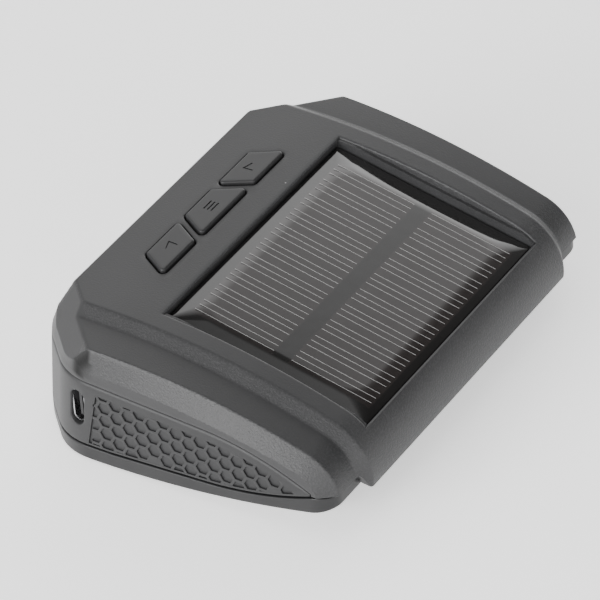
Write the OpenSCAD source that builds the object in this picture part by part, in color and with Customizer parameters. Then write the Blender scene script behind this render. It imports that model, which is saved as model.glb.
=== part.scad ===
// Solar speed display for a dashboard, as an assembly of separate pieces, in millimetres.
// Origin: centre of the footprint, on the surface that the unit stands on.
// +Z is up, -Y is the display face towards the driver, +Y the tail towards the windscreen,
// +X the side with the charging port.

/* [Body] */
// Width over the two side walls
body_w = 109.4; // [104:0.2:116]
// Wall of the moulded shells
wall = 2.2; // [1.8:0.1:2.4]
// Open seam between the top cover and the side frame
seam_gap = 0.3; // [0.2:0.05:0.5]
// Open shadow line between the side frame and the bottom cover
shadow_gap = 0.5; // [0.3:0.05:0.8]
// From the origin to the display face, at its lower edge
front_reach = 43.1; // [42:0.1:45]
// Lean of the display face and the corner facets
face_lean = 4.3; // [2:0.1:6]
// What a corner facet takes off the square corner, at its lower edge
facet_cut = 14; // [12:0.1:16]
// Corner rounding between a side wall and a facet
facet_side_r = 14; // [10:0.5:16]
// Corner rounding between a facet and the display face
facet_front_r = 10; // [6:0.5:12]

/* [Roof] */
// Height of the level front part of the deck
deck_z = 33.4; // [32:0.1:36]
// Half width of the deck
deck_half = 41.8; // [40:0.2:44]
// From the origin to the front edge of the deck
deck_reach = 36; // [34:0.2:37]
// How far the deck's corner facets lie inside the body's facets, measured sideways
facet_step = 12.1; // [10:0.1:14]
// Lean of the brow below the deck, from upright
brow_lean = 40; // [34:1:46]
// Height of the step from the deck down to the side tier
step_h = 2.1; // [1.5:0.1:2.6]
// Width of the sloping step
step_w = 2.8; // [2:0.1:3.6]
// Radius of the long arch of the deck
arch_r = 182; // [170:1:200]
// Angle over which the long arch turns down
arch_turn = 18.8; // [17:0.1:20]
// Radius of the tail roll
roll_r = 13.7; // [12.5:0.1:14.5]
// Radius of the long arch of the sloping side band
band_r = 190; // [175:1:205]
// Angle over which the side band turns down
band_turn = 16; // [14:0.2:18]
// Radius of the side band on the tail roll
band_roll_r = 7.7; // [7:0.1:8.4]
// Lean of the side band at the front, from upright
band_lean_front = 14; // [10:1:18]
// Lean of the side band at the tail, from upright
band_lean_tail = 38; // [32:1:42]

/* [Seams] */
// Height of the seam below the top cover at the front
seam_z = 23.5; // [22.5:0.1:24]
// Fall of the seam towards the tail
seam_fall = 0.06; // [0.05:0.002:0.08]
// Height of the lower edge of the side frame at the front
sill_z = 4.85; // [4.4:0.05:5.2]
// Rise of the lower edge of the side frame towards the tail
sill_rise = 0.062; // [0.05:0.002:0.08]
// Height of the seam round the tail
tail_seam_z = 12.75; // [12:0.05:13.5]

/* [Base] */
// Thickness of the grip pad below the base
pad_t = 1.2; // [0.8:0.1:1.6]
// Depth of the pad's pocket in the base
pad_pocket = 0.4; // [0.3:0.1:0.6]
// Half width of the base where it is narrowest, near the tail
base_tail_half = 48; // [45:0.5:50]
// How far the rear edge of the base lies under the roof's tail
base_tuck = 9; // [8:0.1:11]
// Radius of the upward sweep of the base's lower side edges
sweep_r = 245; // [225:1:280]
// Floor of the bottom cover
floor_t = 2; // [1.6:0.1:2.4]

/* [Solar panel] */
// Width of the panel
panel_w = 71.4; // [68:0.2:73]
// Length of the panel along its slope
panel_l = 51.5; // [48:0.1:52]
// Panel board with its cells
panel_board_t = 1.4; // [1:0.1:1.6]
// Clear resin over the cells
resin_t = 1; // [0.6:0.1:1.2]
// Front edge of the panel, from the origin
panel_front = 11.9; // [11:0.1:13]
// Height of the panel's face at its front edge
panel_z = 31.8; // [31:0.1:32]
// Slope of the panel
panel_tilt = 12.7; // [12:0.1:13.5]
// Clearance round the panel in its tray
panel_gap = 0.3; // [0.2:0.05:0.5]
// Width of the ledge on the tray's side walls
ledge_w = 0.8; // [0.5:0.1:1]
// Height of that ledge over the panel's face
ledge_h = 1.3; // [1:0.1:1.6]
// Floor and walls of the tray
tray_t = 1.5; // [1.2:0.1:1.8]

/* [Keys] */
// Depth of the keys from front to back
key_l = 7.1; // [6:0.1:8]
// Front edge of the keys, from the origin
key_front = 26.7; // [25.5:0.1:27.5]
// Width of the middle key at its front edge
key_mid_w = 10.8; // [9:0.2:12]
// Width of an outer key
key_side_w = 13.2; // [11:0.2:14]
// Web between neighbouring keys
key_web = 2.66; // [2:0.02:3]
// Slant of the keys' side edges
key_slant = 31; // [26:1:34]
// Corner rounding of a key
key_corner_r = 0.8; // [0.5:0.1:1.2]
// How far a key stands above the deck at rest
key_proud = 0.7; // [0.6:0.1:1.2]
// Play round a key in its opening
key_gap = 0.35; // [0.3:0.05:0.5]
// Travel of a key
key_travel = 0.5; // [0.3:0.05:0.6]
// Flange that keeps a key below the deck
key_flange = 0.8; // [0.6:0.1:1]

/* [Honeycomb] */
// Pitch of the honeycomb
cell_pitch = 3.6; // [3.2:0.1:4]
// Width of a pocket across its flats
cell_flats = 2.9; // [2.4:0.1:3.1]
// Depth of a pocket
cell_depth = 0.4; // [0.3:0.05:0.8]
// Plain rim above the honeycomb
cell_rim = 2.6; // [2:0.1:3]
// Plain rim below the honeycomb
cell_sill = 0.7; // [0.5:0.1:1.2]
// Front end of the honeycomb at its top, from the origin
cell_front = 19.85; // [19:0.05:21]
// Slant of the honeycomb's front end
cell_slant = 7; // [0:0.5:10]

/* [Display] */
// Width of the display window
window_w = 70; // [60:1:72]
// Height of the display window along the face
window_h = 15; // [13:0.5:15.5]
// Lower edge of the window above the sill of the frame
window_sill = 1.05; // [0.9:0.05:1.4]
// Thickness of the window
window_t = 1.5; // [1:0.1:1.6]
// How far the window lies behind the face
window_set = 0.3; // [0.2:0.1:0.5]
// Ledge that the window rests on
window_ledge = 1.5; // [1:0.1:2]
// Clearance round the window
window_gap = 0.2; // [0.1:0.05:0.3]

/* [Electronics] */
// Thickness of the circuit boards
board_t = 1.6; // [1:0.2:1.6]
// Height of the charging port's middle
port_z = 14.5; // [14:0.1:15]
// Charging port's middle, behind the display face
port_depth = 18.05; // [17.5:0.05:18.5]
// Long side of the port's metal shell
port_shell_w = 8.94; // [8.8:0.02:9]
// Short side of the port's metal shell
port_shell_h = 3.26; // [3.2:0.02:3.3]
// Clearance of the opening round the shell
port_gap = 0.35; // [0.25:0.05:0.4]
// Width of the battery
battery_w = 56; // [50:1:60]
// Length of the battery
battery_l = 38; // [30:1:40]
// Thickness of the battery
battery_t = 7; // [5:0.5:8]

/* [Screws] */
// Shank diameter of the case screws
screw_d = 2; // [1.8:0.1:2.4]
// Head diameter of the case screws
screw_head_d = 4; // [3.6:0.1:4.4]
// Height of a screw head
screw_head_h = 1.5; // [1.2:0.1:1.8]
// Clearance round a screw
screw_gap = 0.1; // [0.05:0.05:0.2]
// Diameter of the screw bosses
boss_d = 6; // [5.4:0.1:6.6]

/* [Hidden] */

eps = 0.01;
far = 70;
half_w = body_w / 2;
// Sum of sideways and forward reach of the corner facets: at their lower edge, and at the deck
facet_reach = half_w + front_reach - facet_cut;
deck_facet_reach = facet_reach - facet_step;
base_tail = front_reach - base_tuck;
port_front = front_reach - port_depth;
base_z = pad_t - pad_pocket;
floor_z = base_z + floor_t;
// The tail roll dips a hair below the arch, so that the two meet in a clean edge
dip = 0.03;
// Axis of the tail roll: the roll reaches as far back as the display face reaches forward
roll_y = front_reach - roll_r + dip;
roll_z = deck_z - arch_r + (arch_r - roll_r) * cos(arch_turn);
root2 = sqrt(2);

// Colours of the finishes
charcoal = "#4a4a4c";
dark_plastic = "#2c2c2e";
smoke = "#17181a";
board_green = "#1f5a3a";
metal = "#b9bcc0";

// Thin round plates at the corners of the body's plan at a height.
// The display face and the facets lean back as they rise.
function face_in(z) = (z - sill_z) * tan(face_lean);
module front_corners(inset, z) {
    side = half_w - inset;
    reach = facet_reach - (face_in(z) + inset) * root2;
    front = -front_reach + face_in(z) + inset;
    r_side = facet_side_r - inset;
    r_front = facet_front_r - inset;
    for (s = [-1, 1]) {
        translate([s * (side - r_side), side - r_side - reach + r_side * root2, 0])
            cylinder(r = r_side, h = eps, $fn = 64);
        translate([s * (reach + front + r_front - r_front * root2), front + r_front, 0])
            cylinder(r = r_front, h = eps, $fn = 64);
    }
}

// Leaning block with the body's plan between two heights
module body_block(inset, low, high)
    hull()
        for (z = [low, high])
            translate([0, 0, z]) {
                front_corners(inset, z);
                translate([inset - half_w, far - 1, 0]) cube([body_w - 2 * inset, 1, eps]);
            }

// Cross-section carried over the roof line: level front, long arch, tail roll.
// Points are height over the roof line and distance from the middle plane.
roll_end = 100;
overlap = 1;
module over_roof(r, turn, tail_r, points) {
    arch_y = roll_y - (r - tail_r) * sin(turn);
    arch_z = roll_z - (r - tail_r) * cos(turn);
    translate([0, arch_y, arch_z]) {
        rotate([90, 0, 0]) linear_extrude(far) polygon([for (p = points) [p[1], r + p[0]]]);
        rotate([0, -90, 0]) rotate_extrude(angle = turn, $fn = 180)
            polygon([for (p = points) [r + p[0], p[1]]]);
    }
    translate([0, roll_y, roll_z]) rotate([0, -90, 0]) rotate([0, 0, turn - overlap])
        rotate_extrude(angle = roll_end - turn + overlap, $fn = 96)
            polygon([for (p = points) [max(0, tail_r - dip + p[0]), p[1]]]);
}

// Deck, step and tier, with the walls' inset
roof_depth = 60;
module roof(inset) {
    deck = deck_half - inset / 2;
    over_roof(arch_r, arch_turn, roll_r, [
        [-roof_depth, -far], [-roof_depth, far], [-step_h - inset, far], [-step_h - inset, deck + step_w],
        [-inset, deck], [-inset, -deck], [-step_h - inset, -deck - step_w], [-step_h - inset, -far]]);
}

// Sloping side bands that close the tiers' outer edges: slices across the body, set along the bands'
// lower edge, whose lean grows towards the tail
band_steps = 10;
band_roll_steps = 7;
band_over = 9;
band_under = 1;
module band_slice(inset, r, turn, lean)
    rotate([-turn, 0, 0])
        for (h = [-band_under, band_over]) {
            half = half_w - inset / cos(lean) - h * tan(lean);
            translate([-half, 0, r + h]) cube([2 * half, eps, eps]);
        }
module bands(inset) {
    arch_y = roll_y - (band_r - band_roll_r) * sin(band_turn);
    arch_z = roll_z - (band_r - band_roll_r) * cos(band_turn);
    hull() {
        translate([0, -far, arch_z]) band_slice(inset, band_r, 0, band_lean_front);
        for (i = [0 : band_steps])
            translate([0, arch_y, arch_z])
                band_slice(inset, band_r, band_turn * i / band_steps,
                    band_lean_front + (band_lean_tail - band_lean_front) * i / band_steps);
        for (i = [1 : band_roll_steps])
            translate([0, roll_y, roll_z])
                band_slice(inset, band_roll_r, band_turn + (roll_end - band_turn) * i / band_roll_steps,
                    band_lean_tail);
        translate([inset - half_w - band_under, -far, -far])
            cube([body_w + 2 * (band_under - inset), far + roll_y, eps]);
    }
}

// What the sloping brow cuts from the front and the corners
module brow_cut(inset)
    for (a = [0, 45, -45])
        translate([sign(a) * (deck_facet_reach - deck_reach), -deck_reach, deck_z])
            rotate([0, 0, a]) rotate([-brow_lean, 0, 0])
                translate([-far, inset - far, -far]) cube([2 * far, far, 2 * far]);

// Whole upper form
form_low = 2;
form_high = 40;
module upper_form(inset)
    difference() {
        intersection() {
            body_block(inset, form_low, form_high);
            roof(inset);
            bands(inset);
        }
        brow_cut(inset);
    }

// Seam and sill lines in the side view: straight, then an arc towards the tail
function line_then_arc(y, start_y, start_z, slope, bend_y, r) =
    let (turn = atan(slope))
    y <= bend_y ? start_z + (y - start_y) * slope
        : start_z + (bend_y - start_y) * slope + sign(r) * (abs(r) * cos(turn)
            - sqrt(max(0, r * r - pow(abs(r) * sin(abs(turn)) + y - bend_y, 2))));
seam_bend_y = 8;
seam_r = 66;
sill_bend_y = 8;
sill_r = 86;
line_start_y = -30;
sill_start_y = -16.5;
line_step = 2;
seam_tuck = 7.6;
tail_y = front_reach - seam_tuck;
function seam_line(y) = y < line_start_y ? seam_z
    : line_then_arc(y, line_start_y, seam_z, -seam_fall, seam_bend_y, -seam_r);
function sill_line(y) = y < sill_start_y ? sill_z
    : line_then_arc(y, sill_start_y, sill_z, sill_rise, sill_bend_y, sill_r);
line_ys = concat([-far, line_start_y],
    [for (y = [line_start_y + line_step : line_step : tail_y]) y], [tail_y]);

// Side-view outline drawn across the full width
module across(width = 2 * far)
    translate([-width / 2, 0, 0]) rotate([90, 0, 90]) linear_extrude(width) children();

module below_seam(drop)
    polygon(concat([for (y = line_ys) [y, seam_line(y) - drop]],
        [[tail_y, tail_seam_z - drop], [far, tail_seam_z - drop], [far, -far], [-far, -far]]));

module below_sill(drop, tail_drop)
    polygon(concat([for (y = line_ys) [y, sill_line(y) - drop]],
        [[tail_y + eps, tail_seam_z - tail_drop], [far, tail_seam_z - tail_drop], [far, -far], [-far, -far]]));

// Frame of the sloping panel: y runs down the slope, z stands on its face
panel_t = panel_board_t + resin_t;
module on_panel() translate([0, -panel_front, panel_z]) rotate([-panel_tilt, 0, 0]) children();
tray_w = panel_w + 2 * panel_gap;
tray_l = panel_l + 2 * panel_gap;

// Frame of the leaning display face: y runs inwards, z up along the face
module on_face() translate([0, -front_reach, sill_z]) rotate([-face_lean, 0, 0]) children();

// Convex outline with rounded corners, grown by a margin
function edge_in(points, i) =
    let (d = points[(i + 1) % len(points)] - points[i]) [-d[1], d[0]] / norm(d);
function corner_in(points, i, t) =
    let (a = edge_in(points, (i + len(points) - 1) % len(points)), b = edge_in(points, i))
    points[i] + t * (a + b) / (1 + a * b);
module rounded(points, r, grow) {
    n = len(points);
    inner = [for (i = [0 : n - 1]) corner_in(points, i, r - grow)];
    polygon(inner);
    for (i = [0 : n - 1]) {
        next = inner[(i + 1) % n];
        out = r * edge_in(points, i);
        translate(inner[i]) circle(r, $fn = 32);
        polygon([inner[i], inner[i] - out, next - out, next]);
    }
}

// Plan of a key: -1 down, 0 menu, 1 up
function key_edge(n) = key_mid_w / 2 + (n == 0 ? 0 : key_web + (n - 1) * key_side_w);
function key_points(side) =
    let (lean = key_l * tan(key_slant),
        a = side == 0 ? -key_edge(0) : key_edge(1),
        b = key_edge(side == 0 ? 0 : 2))
    [[a, 0], [b, 0], [b + lean, key_l], [a + (side == 0 ? -lean : lean), key_l]];
module at_key(side) translate([0, -key_front]) mirror([side < 0 ? 1 : 0, 0]) children();
module key_plan(side, grow = 0) at_key(side) rounded(key_points(side), key_corner_r, grow);
module key_hole(side) at_key(side) polygon([for (i = [0 : 3]) corner_in(key_points(side), i, -key_gap)]);
function key_middle(side) =
    [side * (key_edge(1) + key_side_w / 2 + key_l * tan(key_slant) / 2), key_l / 2 - key_front];

// Heights under the keys
deck_inside = deck_z - wall;
flange_play = 0.4;
flange_top = deck_inside - flange_play;
flange_low = flange_top - key_flange;
post_l = 2.2;
post_r = 1.3;
post_low = flange_low - post_l;
stem_r = 1.75;
stem_l = 2.8;
stem_play = 0.3;
switch_w = 6;
switch_h = 3.5;
key_board_t = board_t * 0.75;
key_board_top = post_low - stem_l - key_travel - 0.7;
key_board_low = key_board_top - key_board_t;
gps_module_t = 2.2;

// Places of the case screws: [x, y]
screw_in = 2.5;
screw_front_y = -12;
tail_screw_x = 7;
tail_screw_y = 8.1;
front_screw = [half_w - wall - boss_d / 2 - screw_in, screw_front_y];
rear_screw = [base_tail_half - tail_screw_x, base_tail - tail_screw_y];
function screw_places() = [for (s = [-1, 1], p = [front_screw, rear_screw]) [s * p[0], p[1]]];
screw_well = 3.2;
screw_seat = base_z + screw_well;
post_top = 8.5;
screw_l = 12;
screw_tip = screw_seat + screw_l;

// Places of the key board's screws
key_screw_x = 28.5;
key_screw_y = -18;
key_screw_places = [[-key_screw_x, key_screw_y], [key_screw_x, key_screw_y]];

module top_cover()
    color(charcoal)
        difference() {
            upper_form(0);
            difference() {
                upper_form(wall);
                on_panel() translate([-tray_w / 2 - tray_t, -panel_gap - tray_t, -panel_t - tray_t])
                    cube([tray_w + 2 * tray_t, tray_l + 2 * tray_t, panel_t + tray_t + roof_depth]);
                screw_bosses();
                for (p = key_screw_places)
                    translate([p[0], p[1], key_board_top]) cylinder(d = small_boss_d, h = far, $fn = 48);
            }
            difference() {
                across() below_seam(0);
                tail_lip_space();
                screw_bosses();
            }
            on_panel() {
                translate([-tray_w / 2, -panel_gap, -panel_t]) cube([tray_w, tray_l, far]);
                translate([-tray_w / 2 - ledge_w, -panel_gap, ledge_h])
                    cube([tray_w + 2 * ledge_w, tray_l, far]);
                translate([0, lead_slope_y, -panel_t - far / 2])
                    cylinder(r = lead_hole_r, h = far, $fn = 48);
            }
            for (side = [-1, 0, 1])
                translate([0, 0, flange_low]) linear_extrude(far) key_hole(side);
            for (p = screw_places())
                translate([p[0], p[1], 0]) cylinder(d = screw_d + screw_gap, h = screw_tip + 1, $fn = 32);
            for (p = key_screw_places)
                translate([p[0], p[1], 0])
                    cylinder(d = small_screw_d + screw_gap, h = key_board_top + small_screw_l + 0.5, $fn = 32);
        }

// The middle of the roll reaches down over the base's rear wall
tail_lip_z = 9;
module tail_lip_space()
    translate([-deck_half - step_w, tail_y + 1, tail_lip_z]) cube([2 * (deck_half + step_w), far, far]);
module screw_bosses()
    for (p = screw_places())
        translate([p[0], p[1], post_top]) cylinder(d = boss_d, h = far, $fn = 48);

// Honeycomb field in the side view, clipped by a plain rim
module honeycomb() {
    column = cell_pitch * sqrt(3) / 2;
    first_y = 2.45 - cell_front;
    first_z = seam_z - 2.9;
    lean = far * tan(cell_slant);
    columns = ceil((tail_y - first_y) / column);
    rows = ceil(first_z / cell_pitch);
    intersection() {
        difference() {
            translate([-cell_front, first_z])
                polygon([[-lean, -far], [far, -far], [far, far], [lean, far]]);
            difference() {
                translate([-far, -far]) square(3 * far);
                below_seam(seam_gap + cell_rim);
            }
            below_sill(-cell_sill, 0);
        }
        for (i = [-1 : columns], j = [-1 : rows])
            translate([first_y + i * column, first_z - (j + abs(i % 2) / 2) * cell_pitch])
                circle(d = cell_flats * 2 / sqrt(3), $fn = 6);
    }
}

// Upright slot with round ends, in the side view
module slot(long, short) {
    square([short, long - short], center = true);
    for (s = [-1, 1]) translate([0, s * (long - short) / 2]) circle(d = short, $fn = 48);
}

module side_frame()
    color(charcoal)
        difference() {
            intersection() {
                body_block(0, form_low, form_high);
                across() below_seam(seam_gap);
            }
            body_block(wall, 0, form_high + 2);
            across() below_sill(0, 0);
            translate([-far, tail_y, -far]) cube(2 * far);
            on_face() {
                translate([-window_w / 2 + window_ledge, -5, window_sill + window_ledge])
                    cube([window_w - 2 * window_ledge, 10, window_h - 2 * window_ledge]);
                translate([-window_w / 2 - window_gap, -5, window_sill - window_gap])
                    cube([window_w + 2 * window_gap, 5 + window_set + window_t, window_h + 2 * window_gap]);
            }
            for (s = [-1, 1])
                translate([s > 0 ? half_w - cell_depth : -half_w - 1, 0, 0])
                    rotate([90, 0, 90]) linear_extrude(cell_depth + 1) honeycomb();
            translate([port_mouth - port_l - port_gap, -port_front, port_z]) rotate([90, 0, 90])
                linear_extrude(far) slot(port_shell_w + 2 * port_gap, port_shell_h + 2 * port_gap);
        }

// Form of the base: a flat floor, upright sides whose lower edges sweep up to the tail, a slanting rim
rim_tuck = 2.8;
rim_tail = front_reach - rim_tuck;
rim_slope = (tail_seam_z - sill_z) / (rim_tail + front_reach);
rim_low = sill_z + rim_slope * front_reach;
rim_tail_r = 5;
base_tail_r = 8;
sweep_start = 18.6;
sweep_y = sweep_start - front_reach;
sweep_step = 5;
sweep_end = rim_tail - rim_tail_r;
sweep_ys = [for (y = [sweep_y : sweep_step : sweep_end]) y];
function sweep_rise(y) = sweep_r - sqrt(sweep_r * sweep_r - (y - sweep_y) * (y - sweep_y));
module tail_corners(inset, side, tail, r)
    for (s = [-1, 1])
        translate([s * (side - r), tail - r, 0]) cylinder(r = r - inset, h = eps, $fn = 48);
module base_form(inset, low, lift = 0)
    hull() {
        translate([0, 0, low]) {
            front_corners(inset, sill_z);
            tail_corners(inset, base_tail_half, base_tail, base_tail_r);
            for (y = sweep_ys)
                translate([inset - half_w, y, sweep_rise(y)]) cube([body_w - 2 * inset, eps, eps]);
        }
        multmatrix([[1, 0, 0, 0], [0, 1, 0, 0], [0, rim_slope, 1, rim_low + lift], [0, 0, 0, 1]]) {
            front_corners(inset, sill_z);
            tail_corners(inset, half_w, rim_tail, rim_tail_r);
        }
    }

// Lips on the base that stand behind the shadow lines at the sides
lip_t = 1;
lip_h = 1.2;
lip_root = 1.5;
lip_play = 0.15;
lip_front = -14;
lip_back = 28;
module lip_strip(t, drop)
    intersection() {
        translate([half_w - wall - lip_play - lip_t, lip_front, 0]) cube([t, lip_back - lip_front, far]);
        across() difference() {
            below_sill(drop, drop);
            below_sill(shadow_gap + lip_root, shadow_gap);
        }
    }
module base_lips()
    for (m = [0, 1])
        mirror([m, 0, 0]) {
            lip_strip(lip_t, -lip_h);
            lip_strip(lip_t + lip_play + eps, shadow_gap);
        }

module bottom_cover()
    color(dark_plastic)
        difference() {
            union() {
                difference() {
                    intersection() {
                        base_form(0, base_z);
                        across() below_sill(shadow_gap, seam_gap);
                    }
                    base_form(wall, floor_z, 1);
                }
                for (p = screw_places())
                    translate([p[0], p[1], base_z + eps])
                        cylinder(d = boss_d, h = post_top - base_z - eps, $fn = 48);
                base_lips();
                for (x = rib_xs)
                    translate([x - rib_t / 2, board_y - rib_l, floor_z - eps])
                        cube([rib_t, 2 * rib_l + board_t, rib_h]);
            }
            for (p = screw_places())
                translate([p[0], p[1], 0]) {
                    cylinder(d = screw_d + 2 * screw_gap, h = far, $fn = 32);
                    cylinder(d = screw_head_d + 4 * screw_gap, h = screw_seat, $fn = 48);
                }
            translate([-far, board_y - board_play, board_low])
                cube([2 * far, board_t + 2 * board_play, far]);
            translate([0, pad_y, 0]) linear_extrude(base_z + pad_pocket) pad_plan(0.2);
        }

// Grip pad with round corners
pad_w = 74;
pad_l = 56;
pad_y = -6;
pad_r = 6;
module pad_plan(grow = 0) {
    square([pad_w + 2 * grow, pad_l - 2 * pad_r], center = true);
    square([pad_w - 2 * pad_r, pad_l + 2 * grow], center = true);
    for (x = [-1, 1], y = [-1, 1])
        translate([x * (pad_w / 2 - pad_r), y * (pad_l / 2 - pad_r)]) circle(r = pad_r + grow, $fn = 48);
}
module grip_pad() color("#202022") translate([0, pad_y, 0]) linear_extrude(pad_t) pad_plan();

module display_window()
    color(smoke) on_face() translate([-window_w / 2, window_set, window_sill])
        cube([window_w, window_t, window_h]);

// Upright main board behind the display, with the port on its rear face
board_y = -port_front - port_shell_h / 2 - board_t;
board_rear = board_y + board_t;
board_low = floor_z + 2.6;
board_high = key_board_low - gps_module_t - 0.4;
board_left = -half_w + wall + 8.5;
board_right = half_w - wall - 3;
board_play = 0.1;
rib_xs = [-38, -12, 12, 36];
rib_t = 2;
rib_l = 2.4;
rib_h = 4;
display_w = window_w - 4;
display_d = 8;
display_low = 7;
display_h = board_high - display_low;
module main_board()
    color(board_green) translate([board_left, board_y, board_low])
        cube([board_right - board_left, board_t, board_high - board_low]);

// LED block with the digit and sign windows of a speed display
module led_display()
    color("#e8e8e4") difference() {
        translate([-display_w / 2, board_y - display_d, display_low])
            cube([display_w, display_d, display_h]);
        for (x = digit_xs) digit_windows(x);
    }
digit_xs = [-20, -9, 2];
segment_t = 1.3;
segment_l = 4;
segment_gap = 0.4;
segment_depth = 1.5;
module digit_windows(x)
    translate([x, board_y - display_d - eps, display_low + display_h / 2])
        rotate([-90, 0, 0]) linear_extrude(segment_depth) for (s = [-1, 0, 1]) {
            pitch = segment_l + segment_t;
            translate([0, s * pitch]) square([segment_l - segment_gap, segment_t], center = true);
            if (s != 0)
                for (t = [-1, 1])
                    translate([s * pitch / 2, t * pitch / 2])
                        square([segment_t, segment_l - segment_gap], center = true);
        }

film_t = 0.4;
module display_film()
    color("#3a3b3d") translate([-display_w / 2, board_y - display_d - film_t, display_low])
        cube([display_w, film_t, display_h]);

// Small parts on the rear of the main board: [x, z, width, height, depth]
chips = [[4, 12.5, 9, 9, 1.2], [24, 14, 5, 4, 1.1], [-8, 14, 4.8, 6, 1.5], [31, 14, 6, 4, 2]];
module board_chips()
    color("#26262a") for (c = chips)
        translate([c[0] - c[2] / 2, board_rear, c[1] - c[3] / 2]) cube([c[2], c[4], c[3]]);

buzzer_d = 9;
buzzer_h = 5;
buzzer_x = -29;
buzzer_z = 13.5;
sound_hole_d = 1.6;
sound_hole_l = 1;
module buzzer()
    color("#1c1c1e") translate([buzzer_x, board_rear, buzzer_z]) rotate([-90, 0, 0]) difference() {
        cylinder(d = buzzer_d, h = buzzer_h, $fn = 64);
        translate([0, 0, buzzer_h - sound_hole_l])
            cylinder(d = sound_hole_d, h = sound_hole_l + 1, $fn = 32);
    }

// Charging port: a folded metal shell and its tongue
port_t = 0.3;
port_back = 1;
port_l = 7.4;
port_set = 1.4;
port_mouth = half_w - port_set;
module in_port() translate([port_mouth - port_l, -port_front, port_z]) rotate([90, 0, 90]) children();
module port_shell()
    color(metal) in_port() difference() {
        linear_extrude(port_l) slot(port_shell_w, port_shell_h);
        translate([0, 0, port_back])
            linear_extrude(port_l) slot(port_shell_w - 2 * port_t, port_shell_h - 2 * port_t);
    }
module port_tongue()
    color("#1a1a1c") in_port() translate([0, 0, 1]) {
        linear_extrude(port_l - 1.8) square([0.7, 6.7], center = true);
        linear_extrude(0.9) slot(port_shell_w - 2 * port_t - 0.1, port_shell_h - 2 * port_t - 0.1);
    }

// Panel: board, cells and clear resin, stacked on the slope
module panel_layer(low, t, margin = 0)
    on_panel() translate([-panel_w / 2 + margin, margin, low])
        cube([panel_w - 2 * margin, panel_l - 2 * margin, t]);
cell_t = 0.3;
cell_margin_x = 4.6;
cell_margin_y = 2.4;
module panel_board() color("#24211f") panel_layer(-panel_t, panel_board_t);
module solar_cells()
    color("#2b2622") for (n = [0, 1])
        on_panel()
            translate([-panel_w / 2 + cell_margin_x, cell_margin_y + n * (panel_cell_l + cell_gap), -resin_t])
                cube([panel_w - 2 * cell_margin_x, panel_cell_l, cell_t]);
cell_gap = 3;
panel_cell_l = (panel_l - 2 * cell_margin_y - cell_gap) / 2;
module panel_resin()
    color([0.55, 0.55, 0.57, 0.5]) difference() {
        panel_layer(-resin_t, resin_t);
        solar_cells();
    }

// Keys, each a cap, a flange and a post that meets its switch
module key(side) {
    translate([0, 0, flange_low]) {
        linear_extrude(deck_z + key_proud - flange_low) key_plan(side);
        linear_extrude(key_flange) key_plan(side, key_flange);
    }
    translate([key_middle(side)[0], key_middle(side)[1], post_low])
        cylinder(r = post_r, h = post_l + key_flange / 2, $fn = 32);
}
// Sunken marks: arrows on the outer keys, bars on the middle one
mark_t = 0.35;
mark_depth = 0.3;
mark_arms = [[2.5, 0.8], [0.15, 2.3]];
mark_apex = [-1.3, -1.2];
module arm(d)
    rotate([0, 0, atan2(d[1], d[0])]) translate([-mark_t / 2, -mark_t / 2]) square([norm(d) + mark_t, mark_t]);
module arrow(side)
    translate(key_middle(side)) mirror([side < 0 ? 1 : 0, 0]) translate(mark_apex)
        for (d = mark_arms) arm(d);
bar_l = 2.9;
bar_pitch = 0.95;
module bars()
    translate(key_middle(0)) for (n = [-1, 0, 1])
        translate([0, n * bar_pitch]) square([bar_l, mark_t], center = true);
module sunken() translate([0, 0, deck_z + key_proud - mark_depth]) linear_extrude(1) children();
module key_up()
    color(charcoal) difference() {
        key(1);
        sunken() arrow(1);
    }
module key_menu()
    color(charcoal) difference() {
        key(0);
        sunken() bars();
    }
module key_down()
    color(charcoal) difference() {
        key(-1);
        sunken() arrow(-1);
    }

module stem(side)
    translate([key_middle(side)[0], key_middle(side)[1], post_low - stem_l])
        cylinder(r = stem_r, h = stem_l, $fn = 32);
module stem_up() color("#1c1c1e") stem(1);
module stem_menu() color("#1c1c1e") stem(0);
module stem_down() color("#1c1c1e") stem(-1);

module switch_bodies()
    color(metal) for (side = [-1, 0, 1])
        translate([key_middle(side)[0], key_middle(side)[1], key_board_top]) difference() {
            translate([-switch_w / 2, -switch_w / 2, 0]) cube([switch_w, switch_w, switch_h]);
            translate([0, 0, 0.4]) cylinder(r = stem_r + stem_play, h = far, $fn = 32);
        }

// Key board under the deck, which carries the satellite receiver as well
key_board_left = -half_w + wall + 5.5;
key_board_right = key_screw_x + 2.5;
key_board_front = -30;
key_board_rear = key_screw_y + 3;
small_screw_d = 1.6;
small_screw_l = 4;
small_head_d = 3;
small_head_h = 1.2;
small_boss_d = 4.4;
module key_board()
    color(board_green) difference() {
        translate([key_board_left, key_board_front, key_board_top - key_board_t])
            cube([key_board_right - key_board_left, key_board_rear - key_board_front, key_board_t]);
        for (p = key_screw_places)
            translate([p[0], p[1], 0]) cylinder(d = small_screw_d + 2 * screw_gap, h = far, $fn = 32);
    }
module key_board_screws()
    color(metal) for (p = key_screw_places)
        translate([p[0], p[1], key_board_top - key_board_t]) {
            translate([0, 0, -small_head_h]) cylinder(d = small_head_d, h = small_head_h, $fn = 48);
            cylinder(d = small_screw_d, h = key_board_t + small_screw_l, $fn = 32);
        }

gps_w = 10;
gps_h = 4;
gps_edge = 0.5;
gps_y = -21.2;
gps_at = [key_board_left + gps_edge + gps_w / 2, gps_y];
gps_module_w = 9;
module gps_antenna()
    color("#c9b79a") translate([gps_at[0] - gps_w / 2, gps_at[1] - gps_w / 2, key_board_top])
        cube([gps_w, gps_w, gps_h]);
module gps_module()
    color(metal)
        translate([gps_at[0] - gps_module_w / 2, gps_at[1] - gps_module_w / 2, key_board_low - gps_module_t])
            cube([gps_module_w, gps_module_w, gps_module_t]);

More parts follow.
